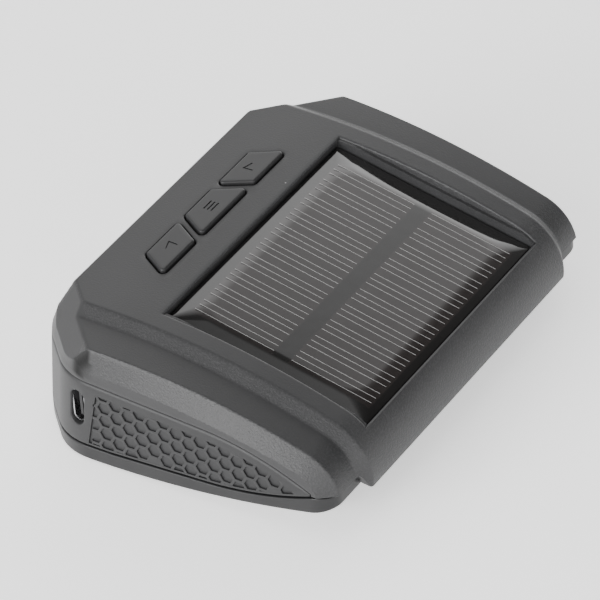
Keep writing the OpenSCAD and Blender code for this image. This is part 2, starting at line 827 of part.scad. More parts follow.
// Flat flexible lead from the main board up to the key board
flex_w = 12;
flex_t = 0.3;
flex_x = -20;
flex_low = 18.6;
flex_l = 6;
module key_flex()
    color("#b5722a") translate([flex_x - flex_w / 2, 0, 0]) rotate([90, 0, 90]) linear_extrude(flex_w) {
        top = key_board_top - key_board_t;
        translate([board_rear, flex_low]) square([flex_t, top - flex_low]);
        translate([board_rear, top - flex_t]) square([flex_l, flex_t]);
    }

// Battery on its tape, on the floor of the bottom cover
battery_y = 8;
tape_t = 0.5;
tape_in_x = 4;
tape_in_y = 3;
battery_low = floor_z + tape_t;
module battery_tape()
    color("#d8d8d2") translate([-battery_w / 2 + tape_in_x, battery_y - battery_l / 2 + tape_in_y, floor_z])
        cube([battery_w - 2 * tape_in_x, battery_l - 2 * tape_in_y, tape_t]);
module battery()
    color("#a9adb3") translate([0, battery_y + battery_l / 2, battery_low + battery_t / 2])
        rotate([90, 0, 0]) linear_extrude(battery_l) {
            square([battery_w - battery_t, battery_t], center = true);
            for (s = [-1, 1])
                translate([s * (battery_w - battery_t) / 2, 0]) circle(d = battery_t, $fn = 48);
        }

// Leads: straight from the battery, and from the panel through the tray
lead_r = 0.6;
lead_gap = 2.4;
lead_bend_r = 2.5;
lead_z = 18.5;
lead_slope_y = 4;
lead_hole_r = 3;
lead_y = -panel_front + lead_slope_y * cos(panel_tilt) - panel_t * sin(panel_tilt);
lead_top = panel_z - lead_slope_y * sin(panel_tilt) - panel_t * cos(panel_tilt);
lead_trim = 0.4;
battery_lead_x = 18;
module battery_leads()
    color("#9c2b25") for (s = [-1, 1])
        translate([battery_lead_x + s * lead_gap / 2, battery_y - battery_l / 2, battery_low + battery_t / 2])
            rotate([90, 0, 0]) cylinder(r = lead_r, h = battery_y - battery_l / 2 - board_rear, $fn = 32);
module panel_leads()
    color("#9c2b25") for (s = [-1, 1])
        translate([s * lead_gap / 2, lead_y, lead_z]) {
            translate([0, 0, lead_bend_r])
                cylinder(r = lead_r, h = lead_top - lead_trim - lead_z - lead_bend_r, $fn = 32);
            translate([0, -lead_bend_r, lead_bend_r]) rotate([0, 90, 0])
                rotate_extrude(angle = 90, $fn = 64) translate([lead_bend_r, 0]) circle(r = lead_r, $fn = 32);
            translate([0, -lead_bend_r, 0]) rotate([90, 0, 0])
                cylinder(r = lead_r, h = lead_y - lead_bend_r - board_rear, $fn = 32);
        }

drive_w = 0.5;
drive_l = 2.2;
drive_depth = 0.7;
module case_screws()
    color(metal) for (p = screw_places())
        translate([p[0], p[1], screw_seat]) {
            difference() {
                translate([0, 0, -screw_head_h]) cylinder(d = screw_head_d, h = screw_head_h, $fn = 48);
                for (a = [0, 90])
                    rotate([0, 0, a]) translate([-drive_l / 2, -drive_w / 2, -screw_head_h - eps])
                        cube([drive_l, drive_w, drive_depth]);
            }
            cylinder(d = screw_d, h = screw_tip - screw_seat, $fn = 32);
        }

top_cover();
side_frame();
bottom_cover();
grip_pad();
display_window();
display_film();
led_display();
panel_board();
solar_cells();
panel_resin();
key_up();
key_menu();
key_down();
stem_up();
stem_menu();
stem_down();
switch_bodies();
key_board();
key_board_screws();
gps_antenna();
gps_module();
main_board();
board_chips();
port_shell();
port_tongue();
buzzer();
key_flex();
battery();
battery_tape();
battery_leads();
panel_leads();
case_screws();
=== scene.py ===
from math import cos, pi, radians, sin, sqrt, tan

import bmesh
import bpy
import numpy as np
from mathutils import Matrix, Vector
from mathutils.geometry import delaunay_2d_cdt


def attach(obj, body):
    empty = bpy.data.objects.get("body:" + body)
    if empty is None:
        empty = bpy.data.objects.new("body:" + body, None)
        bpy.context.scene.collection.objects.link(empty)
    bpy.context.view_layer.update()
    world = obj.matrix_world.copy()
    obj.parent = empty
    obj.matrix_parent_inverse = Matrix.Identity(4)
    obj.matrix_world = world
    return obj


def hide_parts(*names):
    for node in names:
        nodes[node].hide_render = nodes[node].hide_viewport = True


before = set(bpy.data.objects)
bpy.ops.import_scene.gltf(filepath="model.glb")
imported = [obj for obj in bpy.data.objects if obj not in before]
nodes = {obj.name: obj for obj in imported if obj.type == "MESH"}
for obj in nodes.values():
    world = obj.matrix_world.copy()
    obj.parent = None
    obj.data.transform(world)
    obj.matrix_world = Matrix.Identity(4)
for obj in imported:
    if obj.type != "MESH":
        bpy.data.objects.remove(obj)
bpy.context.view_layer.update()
mm = 0.001
root2 = sqrt(2)
print("frame loaded:", len(nodes), "nodes")

# lengths are in millimetres until a mesh is made
bodyForm = {
    "halfWidth": 54.7, "frontReach": 43.1, "sill": 4.85, "faceLean": radians(4.3), "facetReach": 83.8,
    "sideRound": 14.0, "frontRound": 18.0, "wall": 2.2, "tailEnd": 35.5, "midHeight": 14.0,
}
roofForm = {
    "deck": 33.4, "deckHalf": 41.8, "deckReach": 36.0, "deckFacet": 71.7,
    "browLean": radians(25), "facetLean": radians(41), "stepDrop": 2.1, "stepWidth": 2.8,
    "archRadius": 182.0, "archTurn": radians(18.8), "rollRadius": 13.7, "rollPast": 0.03,
    "bandRadius": 190.0, "bandTurn": radians(16), "bandRoll": 7.7, "bandDeepest": 14.0,
    "bandLean": (radians(14), radians(38)), "tailSeam": 12.75, "lipEnd": 9.0, "lipHalf": 41.9, "lipFade": 2.2,
}
seamForm = {
    "seam": 23.5, "seamFall": 0.06, "seamStart": -30.0, "seamArc": -66.0, "seamGap": 0.3,
    "sillRise": 0.062, "sillStart": -16.5, "sillArc": 86.0, "bendY": 8.0, "shadowGap": 0.5,
}


# body outline in plan, right half: 0-1 front, 1-2 front corner, 2-3 facet, 3-4 side corner, 4-5 side
def outlineParts(z, inset):
    b = bodyForm
    lean = (z - b["sill"]) * np.tan(b["faceLean"])
    side = b["halfWidth"] - inset
    reach = b["facetReach"] - (lean + inset) * root2
    front = -b["frontReach"] + lean + inset
    rs, rf = b["sideRound"] - inset, b["frontRound"] - inset
    frontCentre = reach + front + rf - rf * root2, front + rf
    sideCentre = side - rs, side - rs - reach + rs * root2
    return side, front, rs, rf, *frontCentre, *sideCentre


def outlinePoint(u, z, inset=0.0):
    u, z, inset = np.broadcast_arrays(*(np.asarray(v, float) for v in (u, z, inset)))
    s, u = np.where(u < 0, -1.0, 1.0), np.abs(u)
    side, front, rs, rf, fx, fy, sx, sy = outlineParts(z, inset)
    a1, a2 = np.clip(u - 1, 0, 1) * pi / 4, (np.clip(u - 3, 0, 1) + 1) * pi / 4
    t = np.clip(u - 2, 0, 1)
    facetX = (fx + rf / root2) * (1 - t) + (sx + rs / root2) * t
    facetY = (fy - rf / root2) * (1 - t) + (sy - rs / root2) * t
    parts = [u <= 1, u <= 2, u <= 3, u <= 4]
    x = np.select(parts, [u * fx, fx + rf * np.sin(a1), facetX, sx + rs * np.sin(a2)], side)
    y = np.select(parts, [front, fy - rf * np.cos(a1), facetY, sy - rs * np.cos(a2)],
                  sy + (u - 4) * (bodyForm["tailEnd"] - sy))
    return x * s, y


def unrolled():  # where the outline's five parts end, measured along it at mid height
    rs, rf, fx, fy, sx, sy = (float(v) for v in outlineParts(bodyForm["midHeight"], 0.0)[2:])
    facet = np.hypot(sx - fx + (rs - rf) / root2, sy - fy - (rs - rf) / root2)
    return np.cumsum([0, fx, rf * pi / 4, facet, rs * pi / 4, bodyForm["tailEnd"] - sy])


outlineLengths = unrolled()


def toOutline(w):
    return np.sign(w) * np.interp(np.abs(w), outlineLengths, np.arange(6.0))


def lineThenArc(y, startY, startZ, slope, bendY, r):
    turn = np.arctan(abs(slope))
    reach = np.maximum(0, r * r - (abs(r) * np.sin(turn) + np.maximum(y - bendY, 0)) ** 2)
    arc = startZ + (bendY - startY) * slope + np.sign(r) * (abs(r) * np.cos(turn) - np.sqrt(reach))
    return np.where(y <= bendY, startZ + (y - startY) * slope, arc)


def seamLine(y):
    s, y = seamForm, np.asarray(y, float)
    z = lineThenArc(y, s["seamStart"], s["seam"], -s["seamFall"], s["bendY"], s["seamArc"])
    return np.where(y < s["seamStart"], s["seam"], np.where(y > bodyForm["tailEnd"], roofForm["tailSeam"], z))


def sillLine(y):
    s, low, y = seamForm, bodyForm["sill"], np.asarray(y, float)
    z = lineThenArc(y, s["sillStart"], low, s["sillRise"], s["bendY"], s["sillArc"])
    return np.where(y < s["sillStart"], low, z)


# mesh helpers
def newObject(name, data):
    obj = bpy.data.objects.new(name, data)
    bpy.context.scene.collection.objects.link(obj)
    return obj


def sharpenEdges(bm, angle):
    for e in bm.edges:
        e.smooth = len(e.link_faces) == 2 and e.calc_face_angle(0) < angle


def insideLoop(points, loop):
    x, y = points[:, 0], points[:, 1]
    inside = np.zeros(len(points), bool)
    for (x0, y0), (x1, y1) in zip(loop, np.roll(loop, -1, axis=0)):
        if y0 != y1:
            inside ^= ((y0 > y) != (y1 > y)) & (x < (x1 - x0) * (y - y0) / (y1 - y0) + x0)
    return inside


def loopGap(points, loop):
    best = np.full(len(points), 1e9)
    for a, b in zip(loop, np.roll(loop, -1, axis=0)):
        d = b - a
        t = np.clip(((points - a) @ d) / max(d @ d, 1e-12), 0, 1)
        best = np.minimum(best, np.linalg.norm(points - a - t[:, None] * d, axis=1))
    return best


def inRegion(points, loops, keepOff=0.0):  # inside the outer loop, outside its holes and well off them all
    keep = np.ones(len(points), bool)
    for n, loop in enumerate(loops):
        keep &= insideLoop(points, loop) == (n == 0)
        if keepOff:
            keep &= loopGap(points, loop) > keepOff
    return keep


# flat region between an outer loop and its holes, with extra points that keep off the loops
def fillRegion(loops, extra, keepOff):
    extra = np.asarray(extra, float).reshape(-1, 2)
    extra = extra[inRegion(extra, loops, keepOff)]
    points, edges, first = [], [], 0
    for loop in loops:
        n = len(loop)
        points += [Vector(p) for p in loop]
        edges += [(first + i, first + (i + 1) % n) for i in range(n)]
        first += n
    points += [Vector(p) for p in extra]
    verts, _, tris, fromVert, _, _ = delaunay_2d_cdt(points, edges, [], 0, 1e-6)
    verts = np.array([(v.x, v.y) for v in verts])
    place = np.full(len(points), -1)
    for new, old in enumerate(fromVert):
        place[list(old)] = new
    middle = np.array([verts[list(t)].mean(0) for t in tris])
    return verts, [t for t, k in zip(tris, inRegion(middle, loops)) if k], place


# a skin in the making: its points, its faces, and the rings of points that are sewn together
class Skin:
    def __init__(self):
        self.points, self.faces = [], []

    def add(self, rows):
        first = len(self.points)
        self.points += [tuple(p) for p in rows]
        return np.arange(first, len(self.points))

    def at(self, ids):
        return np.array([self.points[i] for i in ids])

    def sew(self, ring, rows, closed=True):
        n = len(ring)
        pairs = [(i, (i + 1) % n) for i in range(n if closed else n - 1)]
        for row in rows:
            new = self.add(row)
            self.faces += [(ring[i], ring[j], new[j], new[i]) for i, j in pairs]
            ring = new
        return ring

    # lays a flat region on a surface and gives its border rings
    def fill(self, outer, holes, lift, extra=(), keepOff=0.35):
        loops = [np.asarray(loop) for loop in (outer, *holes)]
        flat, tris, place = fillRegion(loops, extra, keepOff)
        new = self.add(lift(flat))
        self.faces += [tuple(new[list(t)]) for t in tris]
        ends = np.cumsum([0] + [len(loop) for loop in loops])
        return [new[place[a:b]] for a, b in zip(ends[:-1], ends[1:])]

    def make(self, name, spot, out, sharp=38):  # the outer side is known at one spot
        bm = bmesh.new()
        made = [bm.verts.new(Vector(p) * mm) for p in self.points]
        for face in self.faces:
            loop = [made[i] for i in face]
            if len(set(loop)) == len(loop) and not bm.faces.get(loop):
                bm.faces.new(loop)
        bmesh.ops.remove_doubles(bm, verts=bm.verts, dist=0.002 * mm)
        bmesh.ops.dissolve_degenerate(bm, edges=bm.edges, dist=1e-7)
        bmesh.ops.recalc_face_normals(bm, faces=bm.faces)
        near = min(bm.faces, key=lambda f: (f.calc_center_median() - Vector(spot) * mm).length)
        if near.normal.dot(Vector(out)) < 0:
            bmesh.ops.reverse_faces(bm, faces=bm.faces)
        sharpenEdges(bm, radians(sharp))
        mesh = bpy.data.meshes.new(name)
        bm.to_mesh(mesh)
        bm.free()
        mesh.shade_smooth()
        return newObject(name, mesh)


def boxCorners(x0, y0, x1, y1):
    return [(x0, y0), (x1, y0), (x1, y1), (x0, y1)]


def meshGrid(xs, ys):
    return np.stack([v.ravel() for v in np.meshgrid(xs, ys)], 1)


def joined(ends, counts):  # one row of numbers through all the ends, with so many on each stretch
    parts = [np.linspace(a, b, n)[1:] for a, b, n in zip(ends[:-1], ends[1:], counts)]
    return np.concatenate([ends[:1], *parts])


def level(xy, z):
    return np.column_stack([xy, np.full(len(xy), z)])


def quarter(steps):  # sines and cosines on the way through a quarter turn
    return [(sin(a), cos(a)) for a in np.linspace(0, pi / 2, steps + 1)[1:]]


# convex outline with round corners; grow keeps the same corner centres
def roundOutline(corners, r, grow=0.0, steps=8):
    pts = np.asarray(corners, float)
    n, out = len(pts), []
    for i in range(n):
        d0, d1 = pts[i] - pts[i - 1], pts[(i + 1) % n] - pts[i]
        n0, n1 = np.array([d0[1], -d0[0]]) / np.hypot(*d0), np.array([d1[1], -d1[0]]) / np.hypot(*d1)
        centre = pts[i] - r * (n0 + n1) / (1 + n0 @ n1)
        a0 = np.arctan2(n0[1], n0[0])
        turn = (np.arctan2(n1[1], n1[0]) - a0) % (2 * pi)
        for a in a0 + turn * np.arange(steps + 1) / steps:
            out.append(centre + (r + grow) * np.array([np.cos(a), np.sin(a)]))
    return np.array(out)


# roof line: level front, long arch, tail roll; s is the length along it, equal to y on the level part
def roofNumbers():
    r = roofForm
    inArch, inBand = r["archRadius"] - r["rollRadius"], r["bandRadius"] - r["bandRoll"]
    rollY = bodyForm["frontReach"] - r["rollRadius"] + r["rollPast"]
    rollZ = r["deck"] - r["archRadius"] + inArch * cos(r["archTurn"])
    archY = rollY - inArch * sin(r["archTurn"])
    return (rollY, rollZ, archY, r["deck"] - r["archRadius"],
            rollY - inBand * sin(r["bandTurn"]), rollZ - inBand * cos(r["bandTurn"]))


rollY, rollZ, archY, archZ, bandY, bandZ = roofNumbers()
archEnd = archY + roofForm["archRadius"] * roofForm["archTurn"]


def roofLine(s):
    r, s = roofForm, np.asarray(s, float)
    ahead, onRoll = s <= archY, s > archEnd
    rollTurn = r["archTurn"] + (s - archEnd) / r["rollRadius"]
    turn = np.where(ahead, 0, np.where(onRoll, rollTurn, (s - archY) / r["archRadius"]))
    radius = np.where(onRoll, r["rollRadius"], r["archRadius"])
    y = np.where(ahead, s, np.where(onRoll, rollY, archY) + radius * np.sin(turn))
    z = np.where(ahead, r["deck"], np.where(onRoll, rollZ, archZ) + radius * np.cos(turn))
    return y, z, np.sin(turn), np.cos(turn)


def bandHeight(y, z):  # over the lower edge of the side band, above zero outside
    r = roofForm
    flat = z - (bandZ + r["bandRadius"])
    arch = np.hypot(y - bandY, z - bandZ) - r["bandRadius"]
    roll = np.hypot(y - rollY, z - rollZ) - r["bandRoll"]
    aheadOfRoll = (y - rollY) * cos(r["bandTurn"]) - (z - rollZ) * sin(r["bandTurn"]) < 0
    return np.where(y < bandY, flat, np.where(aheadOfRoll, arch, roll))


# depth of the leaning band below the roof line, and its steepness, which falls to the tail
def bandFace(x, s):
    r = roofForm
    y, z, ny, nz = roofLine(s)
    low, high = np.zeros_like(y), np.full_like(y, r["bandDeepest"])
    for _ in range(40):  # halve the span that holds the band's lower edge
        mid = (low + high) / 2
        over = bandHeight(y - mid * ny, z - mid * nz) > 0
        low, high = np.where(over, mid, low), np.where(over, high, mid)
    foot = (low + high) / 2
    turn = np.arctan2(y - foot * ny - bandY, z - foot * nz - bandZ)
    steep = 1 / np.tan(np.interp(turn, (0, r["bandTurn"]), r["bandLean"]))
    return foot - (bodyForm["halfWidth"] - np.abs(x)) * steep, steep


def facetDepth(x, s):
    return (np.abs(x) - s - roofForm["deckFacet"]) / (root2 * tan(roofForm["facetLean"]))


def softRamp(t, w):
    return np.where(t < -w, 0.0, np.where(t > w, t, (t + w) ** 2 / (4 * w)))


def softMax(a, b, w):
    return b + softRamp(a - b, w)


edgeForm = {"deckEdge": 0.45, "stepFoot": 0.4, "bandEdge": 0.3, "browEdge": 0.6, "facetEdge": 0.6}


# depth of the cover's skin below the roof line
def coverDepth(x, s):
    r, e = roofForm, edgeForm
    over = np.abs(x) - r["deckHalf"]
    step = softRamp(over, e["deckEdge"]) - softRamp(over - r["stepWidth"], e["stepFoot"])
    band, steep = bandFace(x, s)
    brow = (-r["deckReach"] - s) / tan(r["browLean"])
    d = softMax(step * r["stepDrop"] / r["stepWidth"], band, e["bandEdge"] * steep)
    d = softMax(d, brow, e["browEdge"])
    return softMax(d, facetDepth(x, s), e["facetEdge"])


def onRoof(x, s, depth):
    y, z, ny, nz = roofLine(s)
    return np.stack([np.broadcast_to(x, y.shape), y - depth * ny, z - depth * nz], -1)


def coverRow(x, s, inward=0.0):
    return onRoof(x, s, coverDepth(x, s) + inward)


# sloping frame of the solar panel
panelForm = {
    "front": 11.9, "height": 31.8, "tilt": radians(12.7), "width": 71.4, "length": 51.5,
    "board": 1.4, "resin": 1.0, "gap": 0.3, "ledgeWidth": 0.8, "ledgeHeight": 1.3,
}


def toPanel(p):
    c, s = cos(panelForm["tilt"]), sin(panelForm["tilt"])
    y, z = p[..., 1] + panelForm["front"], p[..., 2] - panelForm["height"]
    return np.stack([p[..., 0], y * c - z * s, y * s + z * c], -1)


def fromPanel(p):
    c, s = cos(panelForm["tilt"]), sin(panelForm["tilt"])
    return np.stack([p[..., 0], p[..., 1] * c + p[..., 2] * s - panelForm["front"],
                     -p[..., 1] * s + p[..., 2] * c + panelForm["height"]], -1)


# keys: slanted outlines in plan
keyForm = {
    "front": -26.7, "length": 7.1, "middleWidth": 10.8, "sideWidth": 13.2, "web": 2.66, "slant": radians(31),
    "corner": 0.8, "proud": 0.7, "gap": 0.35, "crown": 0.5, "holeRim": 0.4, "flange": 0.8, "flangeLow": 30.0,
}
keySides = {"down": -1, "menu": 0, "up": 1}


def keyCorners(side):
    k = keyForm
    lean = k["length"] * tan(k["slant"])
    half = k["middleWidth"] / 2
    a, b = (-half, half) if side == 0 else (half + k["web"], half + k["web"] + k["sideWidth"])
    y0, y1 = k["front"], k["front"] + k["length"]
    pts = [(a, y0), (b, y0), (b + lean, y1), (a + (lean if side else -lean), y1)]
    return pts if side >= 0 else [(-x, y) for x, y in pts[::-1]]


def keyMiddle(side):
    return np.array(keyCorners(side)).mean(0)


# top cover: one skin over the roof line, with the panel's tray and the key openings
coverForm = {
    "inner": (0, 3, 6, 9, 12, 15, 18, 21, 24, 26.5, 28.8, 30.6), "columnStep": 0.26,
    "fineFrom": 50.6, "fineColumns": 42, "recessRim": 0.5, "rimDrop": 0.4, "recessShift": 0.22,
    "backRise": 0.4, "keyPatchX": 28.8, "keyPatchY": (-28.6, -17.6),
    "patchGrid": ((-28, 28.1, 1.4), (-28, -18, 1.0)), "brimZ": 27.0, "brimInset": (2.3, 0.75), "tailRows": 22,
    "skirtRows": ((0.1, 0), (0.35, 0), (0.65, 0), (0.93, 0), (1, 0.06), (1, 0.25), (1, 2.0)),
}


def openKeys(skin, loop):  # deck between the keys, with a rolled rim round each opening
    k, arch = keyForm, roofForm["archRadius"]

    def lift(flat):
        s = np.where(flat[:, 1] > archY, archY + arch * np.arcsin((flat[:, 1] - archY) / arch), flat[:, 1])
        return onRoof(flat[:, 0], s, np.zeros(len(s)))

    def hole(side, away):
        return roundOutline(keyCorners(side), k["corner"], k["gap"] + away)

    holes = [hole(side, k["holeRim"]) for side in keySides.values()]
    spots = meshGrid(*(np.arange(*span) for span in coverForm["patchGrid"]))
    rings = skin.fill(skin.at(loop)[:, :2], holes, lift, spots, 0.6)
    for side, ring in zip(keySides.values(), rings[1:]):
        top = skin.at(ring)[:, 2]
        rows = [(hole(side, k["holeRim"] * (1 - s)), top - k["holeRim"] * (1 - c)) for s, c in quarter(5)]
        rows.append((rows[-1][0], top - bodyForm["wall"]))
        skin.sew(ring, [np.column_stack(row) for row in rows])


def openTray(skin, loop):  # rounded rim, ledge along the sides, walls down to the floor
    p = panelForm
    local = toPanel(skin.at(loop))
    xy, z = local[:, :2], local[:, 2]
    half = p["width"] / 2 + p["gap"]
    wall = np.clip(xy, (-half - p["ledgeWidth"], -p["gap"]), (half + p["ledgeWidth"], p["length"] + p["gap"]))
    rows = [(xy + (wall - xy) * s, z - coverForm["rimDrop"] * (1 - c)) for s, c in quarter(4)]
    shelf = np.minimum(rows[-1][1], p["ledgeHeight"])
    foot = np.column_stack([np.clip(wall[:, 0], -half, half), wall[:, 1]])
    rows += [(wall, shelf), (foot, shelf), (foot, np.full_like(shelf, -p["board"] - p["resin"]))]
    skin.sew(loop, [fromPanel(np.column_stack(row)) for row in rows])


def hangSkirt(skin, ids, rowOf, cornerU, front0):  # from the brim down to the seam, on the front and sides
    top = skin.at(ids)
    seamZ = np.minimum(seamLine(top[:, 1]), top[:, 2])
    foot = np.column_stack([top[:, :2], seamZ])
    inward = np.sign(top) * [-1, 0, 0]
    # round the front, the foot follows the leaning outline
    near = rowOf < len(cornerU)
    u = np.where(rowOf > 0, cornerU[np.minimum(rowOf, len(cornerU) - 1)] * np.sign(top[:, 0]),
                 np.clip(top[:, 0] / front0, -1, 1))
    edge, deep = [np.column_stack(outlinePoint(u, seamZ, inset)) for inset in (0.0, 2.0)]
    foot[near, :2] = edge[near]
    inward[near, :2] = (deep - edge)[near] / 2
    skin.sew(ids, [top + (foot - top) * t + inward * push for t, push in coverForm["skirtRows"]], False)


def makeCover():
    f, p, r, half = coverForm, panelForm, roofForm, bodyForm["halfWidth"]
    recessHalf = p["width"] / 2 + p["gap"] + p["ledgeWidth"] + f["recessRim"]
    frontInset, facetInset = f["brimInset"]
    front0 = float(outlineParts(f["brimZ"], frontInset)[4])
    right = np.concatenate([f["inner"], np.arange(front0, f["fineFrom"], f["columnStep"]),
                            np.linspace(f["fineFrom"], half, f["fineColumns"])])
    hole = np.argmin(np.abs(right - recessHalf))
    right[hole] = recessHalf
    columns = np.concatenate([-right[:0:-1], right])
    centre, ax = len(right) - 1, np.abs(columns)
    # rows follow the brim's outline round the corners, then the roof line to the tail
    cornerU = joined((1, 2, 3, 4), (13, 34, 25))
    brimInset = np.interp(cornerU, (1, 2, 3, 4), (frontInset, facetInset, facetInset, 0))
    brimX, brimY = outlinePoint(cornerU, f["brimZ"], brimInset)
    backWall = fromPanel(np.array([0, p["length"] + p["gap"], f["backRise"]]))[1] + f["recessRim"]
    radius = r["rollRadius"]
    recessBack = archEnd + radius * (np.arcsin((backWall - rollY) / radius) - r["archTurn"])
    recessFront = -p["front"] - p["gap"] * cos(p["tilt"]) + f["recessShift"] - f["recessRim"]
    onward = joined((brimY[-1], recessFront, archEnd, recessBack), (10, 52, 14))
    rows = np.concatenate([brimY, onward[1:]])
    widths = np.concatenate([brimX, np.full(len(rows) - len(brimX), half)])
    spread = np.clip((ax - front0) / (half - front0), 0, None)
    grid = []
    for s, w in zip(rows, widths):
        x = np.sign(columns) * (np.minimum(ax, front0) + (w - front0) * spread)
        grid.append(coverRow(x, np.full_like(x, s)))
    # tail rows end at the tail seam, and lower down in the middle
    tailDepth = coverDepth(columns, np.full_like(columns, rows[-1] + 8))
    mix = np.clip((ax - r["lipHalf"]) / r["lipFade"], 0, 1)
    endZ = r["lipEnd"] + (r["tailSeam"] - r["lipEnd"]) * mix * mix * (3 - 2 * mix)
    endTurn = np.arccos((endZ - rollZ) / (radius - tailDepth))
    startTurn = r["archTurn"] + (rows[-1] - archEnd) / radius
    turns = [(startTurn + (endTurn - startTurn) * t, 0.0) for t in np.linspace(0, 1, f["tailRows"])[1:]]
    turns += [(endTurn + 0.012, 0.25), (endTurn + 0.012, 2.0)]
    grid += [coverRow(columns, archEnd + radius * (turn - r["archTurn"]), inward) for turn, inward in turns]
    grid = np.array(grid)
    skin = Skin()
    index = skin.add(grid.reshape(-1, 3)).reshape(grid.shape[:2])
    # the keys' patch and the tray take whole cells out of the grid
    patch = f["inner"].index(f["keyPatchX"])
    boxes = [(*[int(np.argmin(np.abs(rows - y))) for y in f["keyPatchY"]], centre - patch, centre + patch),
             (int(np.argmin(np.abs(rows - recessFront))), len(rows) - 1, centre - hole, centre + hole)]
    solid = np.ones(np.subtract(index.shape, 1), bool)
    for r0, r1, c0, c1 in boxes:
        solid[r0:r1, c0:c1] = False
    cells = np.stack([index[:-1, :-1], index[:-1, 1:], index[1:, 1:], index[1:, :-1]], -1)[solid]
    skin.faces += [tuple(c) for c in cells]
    for fit, (r0, r1, c0, c1) in zip((openKeys, openTray), boxes):
        rimOrder = [index[r0, c0:c1], index[r0:r1, c1], index[r1, c1:c0:-1], index[r1:r0:-1, c0]]
        fit(skin, np.concatenate(rimOrder))
    tailRow = len(index) - 3
    front = index[0][ax <= front0 + 1e-6]
    ids = np.concatenate([index[tailRow:0:-1, 0], front, index[1:tailRow + 1, -1]])
    rowOf = np.concatenate([np.arange(tailRow, 0, -1), np.zeros(len(front), int), np.arange(1, tailRow + 1)])
    hangSkirt(skin, ids, rowOf, cornerU, front0)
    return skin.make("topCover", (0, -32, r["deck"]), (0, 0, 1))


textureForm = {
    "slope": (0.14, 0.34), "tail": (0.30, 0.55), "upward": 0.1, "facetEdge": 0.3, "facetBack": -24.0,
    "cornerWidth": 2.6, "cornerShift": 1.6, "cornerDeep": 2.0, "cornerLow": 24.0, "cornerBack": -14.0,
}


# sloping faces carry the mould's coarse grain, and the blends at the front corners get painted shade: a
# near-black colour and a rougher finish
def markTexture(obj):
    t, mesh = textureForm, obj.data
    spots, normals = np.empty((2, len(mesh.vertices) * 3))
    mesh.vertices.foreach_get("co", spots)
    mesh.vertices.foreach_get("normal", normals)
    x, y, z = spots.reshape(-1, 3).T / mm
    nx, ny, nz = normals.reshape(-1, 3).T
    slope, tail = np.interp(np.abs(nx), t["slope"], (0, 1)), np.interp(ny, t["tail"], (0, 1))
    flatFacet = (np.abs(x) - y > roofForm["deckFacet"] + t["facetEdge"]) & (y < t["facetBack"])
    grain = np.where(flatFacet, 0.0, np.maximum(slope * (nz > t["upward"]), tail))
    facet, band = facetDepth(x, y), bandFace(x, y)[0]
    across = (band - facet - t["cornerShift"]) / t["cornerWidth"]
    corner = (np.minimum(facet, band) > t["cornerDeep"]) & (z > t["cornerLow"]) & (y < t["cornerBack"])
    # painted shade: a soft dark stripe along the blend between the facet and the band at the front corners
    shadeAndDull = np.where(corner, np.exp(-across * across), 0.0)
    for name, values in (("grain", grain), ("shadeAndDull", shadeAndDull)):
        mesh.attributes.new(name, "FLOAT", "POINT").data.foreach_set("value", values)


topCover = makeCover()
markTexture(topCover)
print("top cover:", len(topCover.data.polygons), "faces")


# side frame: front wall, corner facets and honeycomb wings, unrolled along the outline
frameForm = {
    "edge": 0.3, "topEdge": 1.1, "topShare": 0.3, "wingEnd": 35.2,
    "spanParts": (12, 10, 8, 16, 40), "bendRows": (5, 22.4, 12),
    "windowHalf": 35.2, "windowLow": 5.68, "windowHigh": 21.05, "windowCorner": 0.6,
    "portY": -25.05, "portZ": 14.5, "portLong": 9.64, "portShort": 3.96, "portRim": 0.35,
    "cellFront": -19.85, "cellTop": 20.6, "cellSlant": radians(7), "cellRim": 2.6,
    "cellSill": 0.7, "cellDepth": 0.4,
}


def frameSkin(wz, depth=0.0):
    x, y = outlinePoint(toOutline(wz[:, 0]), wz[:, 1], depth)
    return np.column_stack([x, y, wz[:, 1]])


def lengthAt(y):  # length along the outline at a place on the side or its corner
    us = np.linspace(3, 5, 4001)
    ys = outlinePoint(us, bodyForm["midHeight"])[1]
    return float(np.interp(np.interp(y, ys, us), np.arange(6.0), outlineLengths))


def cellField():  # outline of the honeycomb's field in side view, with a slanting front end
    f = frameForm
    ys = np.linspace(f["cellFront"] - 4, f["wingEnd"], 90)
    low = sillLine(ys) + f["cellSill"]
    high = seamLine(ys) - seamForm["seamGap"] - f["cellRim"]
    sides = []
    for edge in (low, high):
        start = f["cellFront"] + (edge - f["cellTop"]) * tan(f["cellSlant"])
        end = float(np.interp(0, ys - start, ys))
        keep = (ys > start) & (high - low > 0.5)
        sides.append([(end, np.interp(end, ys, edge))] + list(zip(ys[keep], edge[keep])))
    return np.array(sides[0] + sides[1][::-1])


